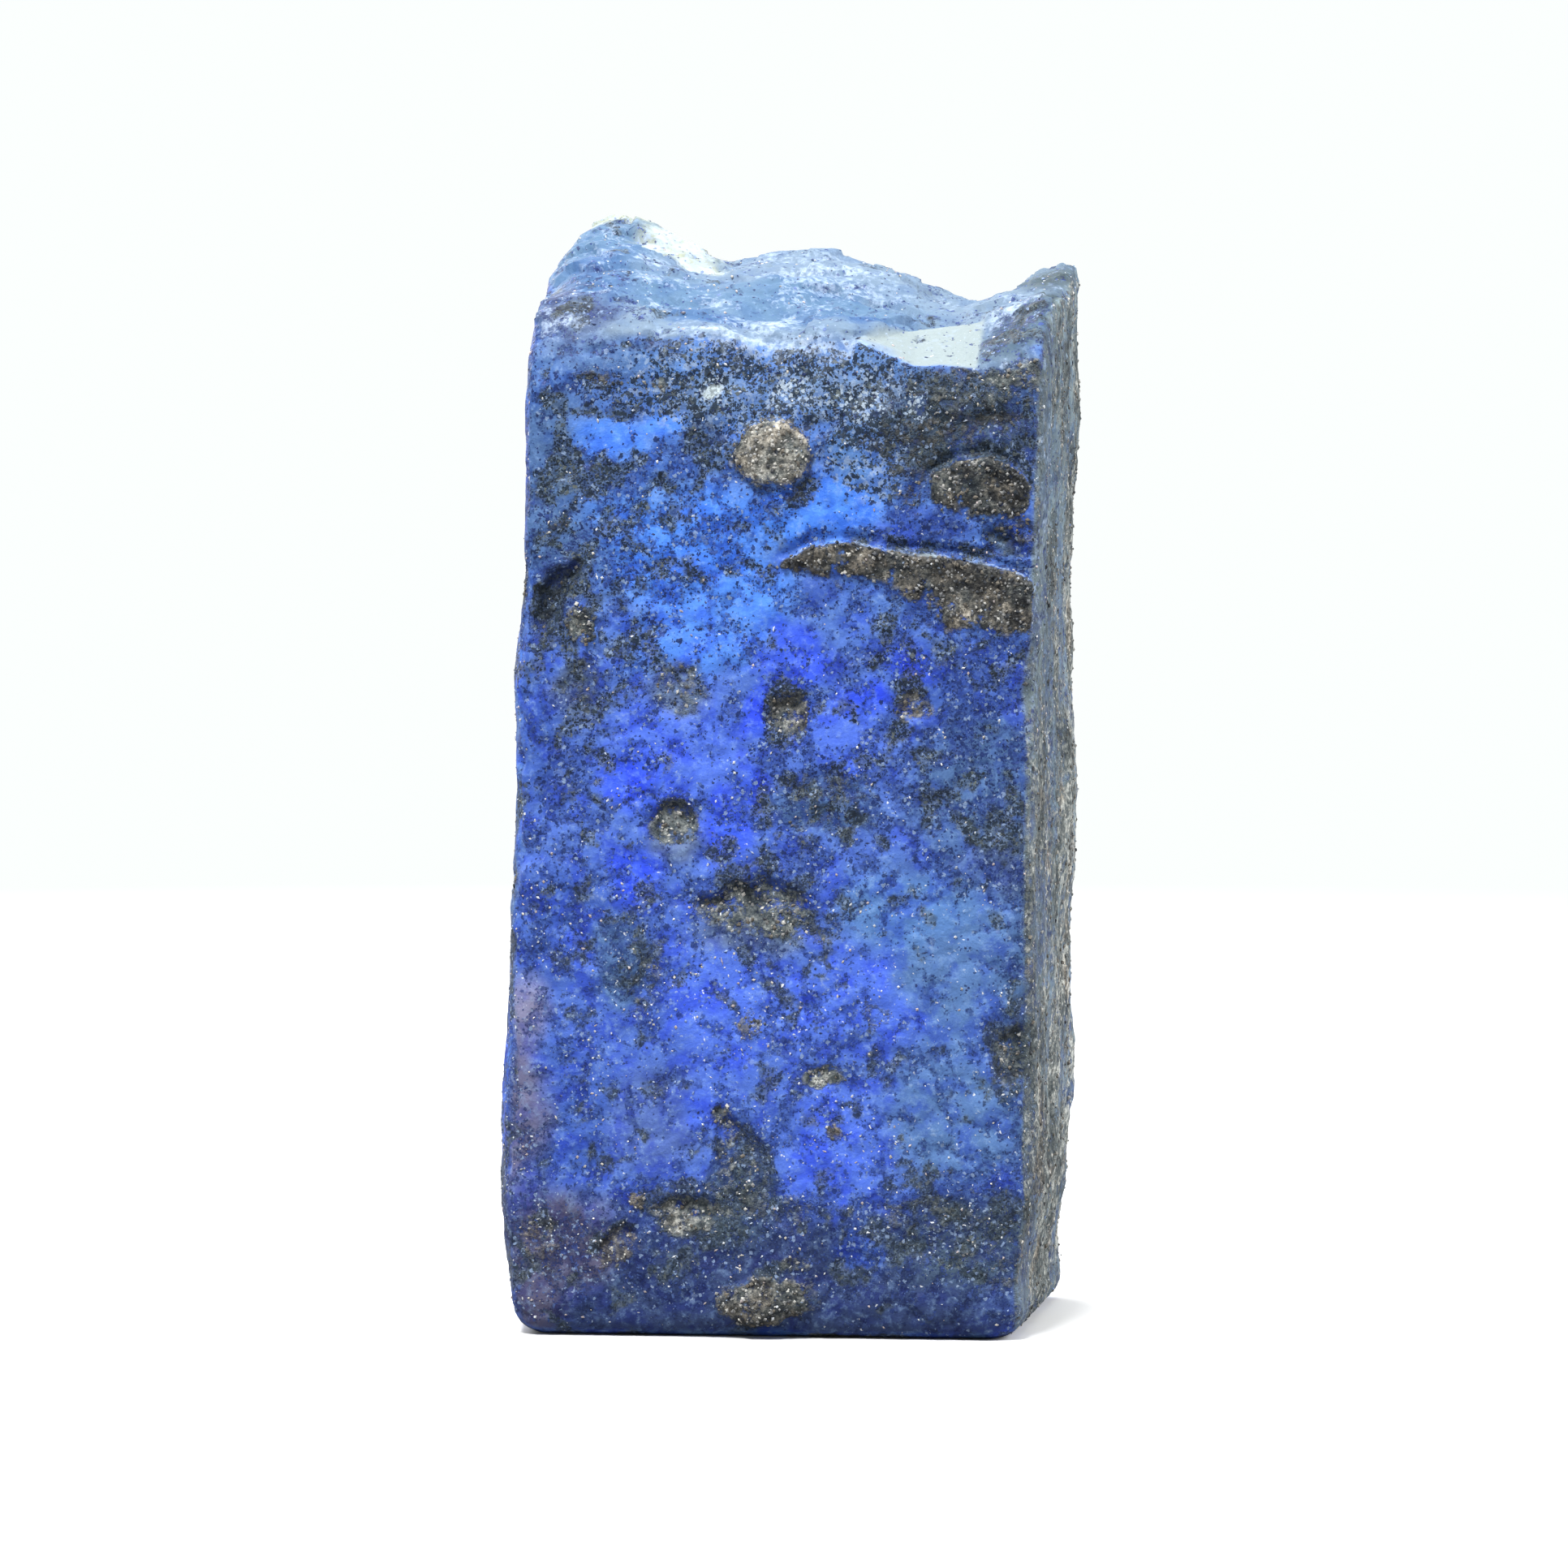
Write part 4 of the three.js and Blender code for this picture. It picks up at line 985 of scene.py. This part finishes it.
# its own map for baking: six views side by side, from the block before its relief
def addBakeMap(mesh, points, normals):
    loops = read(mesh.loops, "vertex_index", kind=int)
    totals = read(mesh.polygons, "loop_total", kind=int)
    owner = np.repeat(np.arange(len(totals)), totals)
    summed = np.zeros((len(totals), 3))
    np.add.at(summed, owner, normals[loops])
    axis = np.argmax(np.abs(summed), axis=1)
    side = 2 * axis + (np.take_along_axis(summed, axis[:, None], axis=1)[:, 0] > 0)
    low = points.min(axis=0)
    wide, deep, tall = points.max(axis=0) - low
    gap = block["mapGap"]
    x, y, z = (points - low)[loops].T
    across = [y, y, x, x, x, x]
    up = [z, z, z, z, y, y]
    corners = []
    reach = gap
    for width in (deep, deep, wide, wide):
        corners.append((reach, gap))
        reach += width + gap
    corners.append((gap, tall + 2 * gap))
    corners.append((wide + 2 * gap, tall + 2 * gap))
    scale = 1 / reach
    sideOfLoop = side[owner]
    u = np.choose(sideOfLoop, [a + c[0] for a, c in zip(across, corners)]) * scale
    v = np.choose(sideOfLoop, [b + c[1] for b, c in zip(up, corners)]) * scale
    layer = mesh.uv_layers.new(name="OFBake")
    layer.data.foreach_set("uv", np.stack([u, v], axis=1).ravel())


def halveFaces(mesh):  # the front and the top carry the finest relief
    normals = read(mesh.polygons, "normal", 3)
    bpy.ops.object.mode_set(mode="EDIT")
    bpy.ops.mesh.select_mode(type="FACE")
    bpy.ops.mesh.select_all(action="DESELECT")
    bpy.ops.object.mode_set(mode="OBJECT")
    mesh.polygons.foreach_set("select", (normals[:, 1] < -0.5) | (normals[:, 2] > 0.45))
    bpy.ops.object.mode_set(mode="EDIT")
    bpy.ops.mesh.subdivide(number_cuts=1)
    bpy.ops.object.mode_set(mode="OBJECT")


def makeBlock():
    piece = copyOfNode("stone", "stoneBlock")
    bpy.ops.object.mode_set(mode="EDIT")
    bpy.ops.mesh.select_all(action="SELECT")
    bpy.ops.mesh.remove_doubles(threshold=block["weld"] * mm)
    bpy.ops.object.mode_set(mode="OBJECT")
    applied(piece, "REMESH", mode="VOXEL", voxel_size=block["voxel"] * mm)
    applied(piece, "SMOOTH", factor=0.5, iterations=block["smoothing"])
    mesh = piece.data
    halveFaces(mesh)
    applied(piece, "SMOOTH", factor=0.5, iterations=block["smoothingAfter"])
    setPoints(mesh, planeFront(pointsOf(mesh), normalsOf(mesh)))
    points = pointsOf(mesh)
    normals = normalsOf(mesh)
    addBakeMap(mesh, points, normals)
    channels = paint(points, normals)
    setPoints(mesh, sculpt(points, normals, channels["crust"]))
    storeChannels(mesh, channels)
    selectOnly(piece)
    bpy.ops.object.shade_smooth()
    mesh.materials.append(makeRock())
    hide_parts("stone")
    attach(piece, "root")
    mesh.calc_loop_triangles()
    print("block made:", len(mesh.loop_triangles), "triangles")
    return piece


# Loose-looking grains that stand in the surface. Sizes are in mm, and thick is how many there are to a
# square millimetre where the stone is at its darkest or most crusted.
grains = {
    "dark": {"size": (0.05, 0.125), "thick": 7.0, "squash": 0.3, "sunk": 0.05, "stretch": 0.35, "seed": 11,
             "roughness": 0.35, "colours": ((32, 42, 52), (34, 48, 78), (38, 56, 104), (50, 72, 132))},
    "crust": {"size": (0.06, 0.16), "thick": 15.0, "squash": 0.75, "sunk": 0.15, "stretch": 0.12, "seed": 12,
              "roughness": 0.45, "colours": ((46, 54, 62), (68, 72, 78), (96, 98, 100), (118, 112, 102),
                                             (152, 152, 150), (208, 206, 198))},
    "pale": {"size": (0.025, 0.11), "thick": 3.3, "squash": 0.8, "sunk": 0.2, "stretch": 0.2, "seed": 13,
             "roughness": 0.2, "colours": ((190, 202, 222), (226, 230, 234), (216, 210, 198), (202, 188, 186),
                                           (150, 176, 226))},
}
grainShape = {
    "kinds": 6, "knocked": 0.35,            # how many shapes there are, and how far their corners are moved
    "strayed": 0.12, "aboveFloor": 0.02, "mottle": 0.12,    # mm
    "specular": 0.4,
}


def grainShapes():  # one eight-sided grain, knocked about in several ways
    shapes = []
    for seed in range(grainShape["kinds"]):
        bpy.ops.mesh.primitive_uv_sphere_add(segments=4, ring_count=2, radius=1)
        grain = bpy.context.object
        bpy.ops.object.mode_set(mode="EDIT")
        bpy.ops.mesh.quads_convert_to_tris()
        bpy.ops.transform.vertex_random(offset=grainShape["knocked"], seed=seed)
        bpy.ops.object.mode_set(mode="OBJECT")
        mesh = grain.data
        shapes.append(np.array([vertex.co for vertex in mesh.vertices]))
        faces = np.array([list(polygon.vertices) for polygon in mesh.polygons])
        bpy.data.objects.remove(grain)
        bpy.data.meshes.remove(mesh)
    return np.array(shapes), faces


def vertexAreas(mesh):  # mm2 of surface to each vertex
    areas = read(mesh.polygons, "area")
    totals = read(mesh.polygons, "loop_total", kind=int)
    loops = read(mesh.loops, "vertex_index", kind=int)
    shared = np.zeros(len(mesh.vertices))
    np.add.at(shared, loops, np.repeat(areas / totals, totals) / mm ** 2)
    return shared


def makeGrit(kind):
    grit, n, shader = startMaterial(kind + "Grit")
    tint = n.attribute("grainColour", "Color")
    mottle = n.noise(n.add("ShaderNodeTexCoord").outputs["Object"], grainShape["mottle"])
    deeper = n.mix(1.0, tint, (0.7, 0.7, 0.72, 1), "MULTIPLY")
    roughness = grains[kind]["roughness"]
    n.put(shader.inputs["Base Color"], n.mix(n.span(mottle, 0.35, 0.65), deeper, tint))
    n.put(shader.inputs["Roughness"], n.span(mottle, 0.3, 0.7, roughness, roughness + 0.2))
    shader.inputs["Specular IOR Level"].default_value = grainShape["specular"]
    return grit


def scatterGrains(kind, ground, chance, paleness, growth):
    values = grains[kind]
    name = kind + "Grains"
    random = np.random.default_rng(values["seed"])
    mesh = ground.data
    expected = values["thick"] * chance * vertexAreas(mesh)
    chosen = np.flatnonzero(random.random(len(expected)) < expected)
    count = len(chosen)
    places = pointsOf(mesh)[chosen]
    up = normalsOf(mesh)[chosen]
    aside = np.cross(up, random.normal(size=(count, 3)))
    aside /= np.linalg.norm(aside, axis=1)[:, None]
    ahead = np.cross(up, aside)
    small, large = values["size"]
    sizes = (small + (large - small) * random.random(count) ** 2) * growth[chosen]
    strayed = random.normal(size=(count, 1)) * aside + random.normal(size=(count, 1)) * ahead
    places = places + grainShape["strayed"] * strayed
    shapes, faces = grainShapes()
    corners = shapes[random.integers(len(shapes), size=count)]
    stretch = np.exp(random.normal(size=count) * values["stretch"])
    local = (corners[:, :, :1] * (aside * stretch[:, None])[:, None]
             + corners[:, :, 1:2] * (ahead / stretch[:, None])[:, None]
             + (corners[:, :, 2:] * values["squash"] - values["sunk"]) * up[:, None])
    vertices = places[:, None] + local * sizes[:, None, None]
    vertices[:, :, 2] = np.maximum(vertices[:, :, 2], grainShape["aboveFloor"])
    perGrain = shapes.shape[1]
    polygons = (faces[None] + perGrain * np.arange(count)[:, None, None]).reshape(-1, 3)
    grainMesh = bpy.data.meshes.new(name)
    grainMesh.from_pydata(vertices.reshape(-1, 3) * mm, [], polygons)
    piece = bpy.data.objects.new(name, grainMesh)
    bpy.context.scene.collection.objects.link(piece)

    tones = np.array([fromScreen(colour) for colour in values["colours"]])
    pick = np.clip((random.random(count) * 0.75 + paleness[chosen] * 0.45) * len(tones), 0, len(tones) - 1)
    tint = tones[pick.astype(int)] * random.uniform(0.75, 1.2, size=(count, 1))
    storeChannels(grainMesh, {"grainColour": np.repeat(tint, perGrain, axis=0)})

    # its own map for baking: a small square to each grain
    columns = math.ceil(math.sqrt(count))
    spread = corners[:, :, :2] / np.abs(corners[:, :, :2]).max() * 0.42 + 0.5
    cell = np.stack([np.arange(count) % columns, np.arange(count) // columns], axis=1)
    flat = ((cell[:, None] + spread) / columns).reshape(-1, 2)
    layer = grainMesh.uv_layers.new(name="OFBake")
    layer.data.foreach_set("uv", flat[polygons.ravel()].ravel())
    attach(piece, "root")
    grainMesh.materials.append(makeGrit(kind))
    print(name, "made:", count, "grains")


def makeGrains(stone):
    mesh = stone.data
    names = ("dark", "clump", "peppered", "crust", "grit", "tan", "frost", "specksAndGlints")
    dark, clump, peppered, crust, grit, tan, frost, specksAndGlints = (
        read(mesh.attributes[name].data, "value") for name in names)
    points = pointsOf(mesh)
    aboveFoot = smoothstep(points[:, 2], 0.2, 0.8)
    clean = 1 - np.maximum(frost, smoothstep(crust, 0.4, 0.7))
    low = 1 - smoothstep(points[:, 2], 16, 34)
    huddled = 0.25 + 1.2 * smoothstep(rough(points, 1.0, 140, 2), -0.1, 0.8)
    same = np.ones(len(points))
    scatterGrains("dark", stone, aboveFoot * clean * dark * (0.35 + clump), 0.6 - clump + 0.7 * low,
                  0.8 + 0.3 * peppered)
    scatterGrains("crust", stone, aboveFoot * grit, tan, same)
    scatterGrains("pale", stone, aboveFoot * huddled * (0.15 + specksAndGlints), 0.5 * (1 - dark), same)


makeCamera()
makeStudio()
stoneBlock = makeBlock()
makeGrains(stoneBlock)
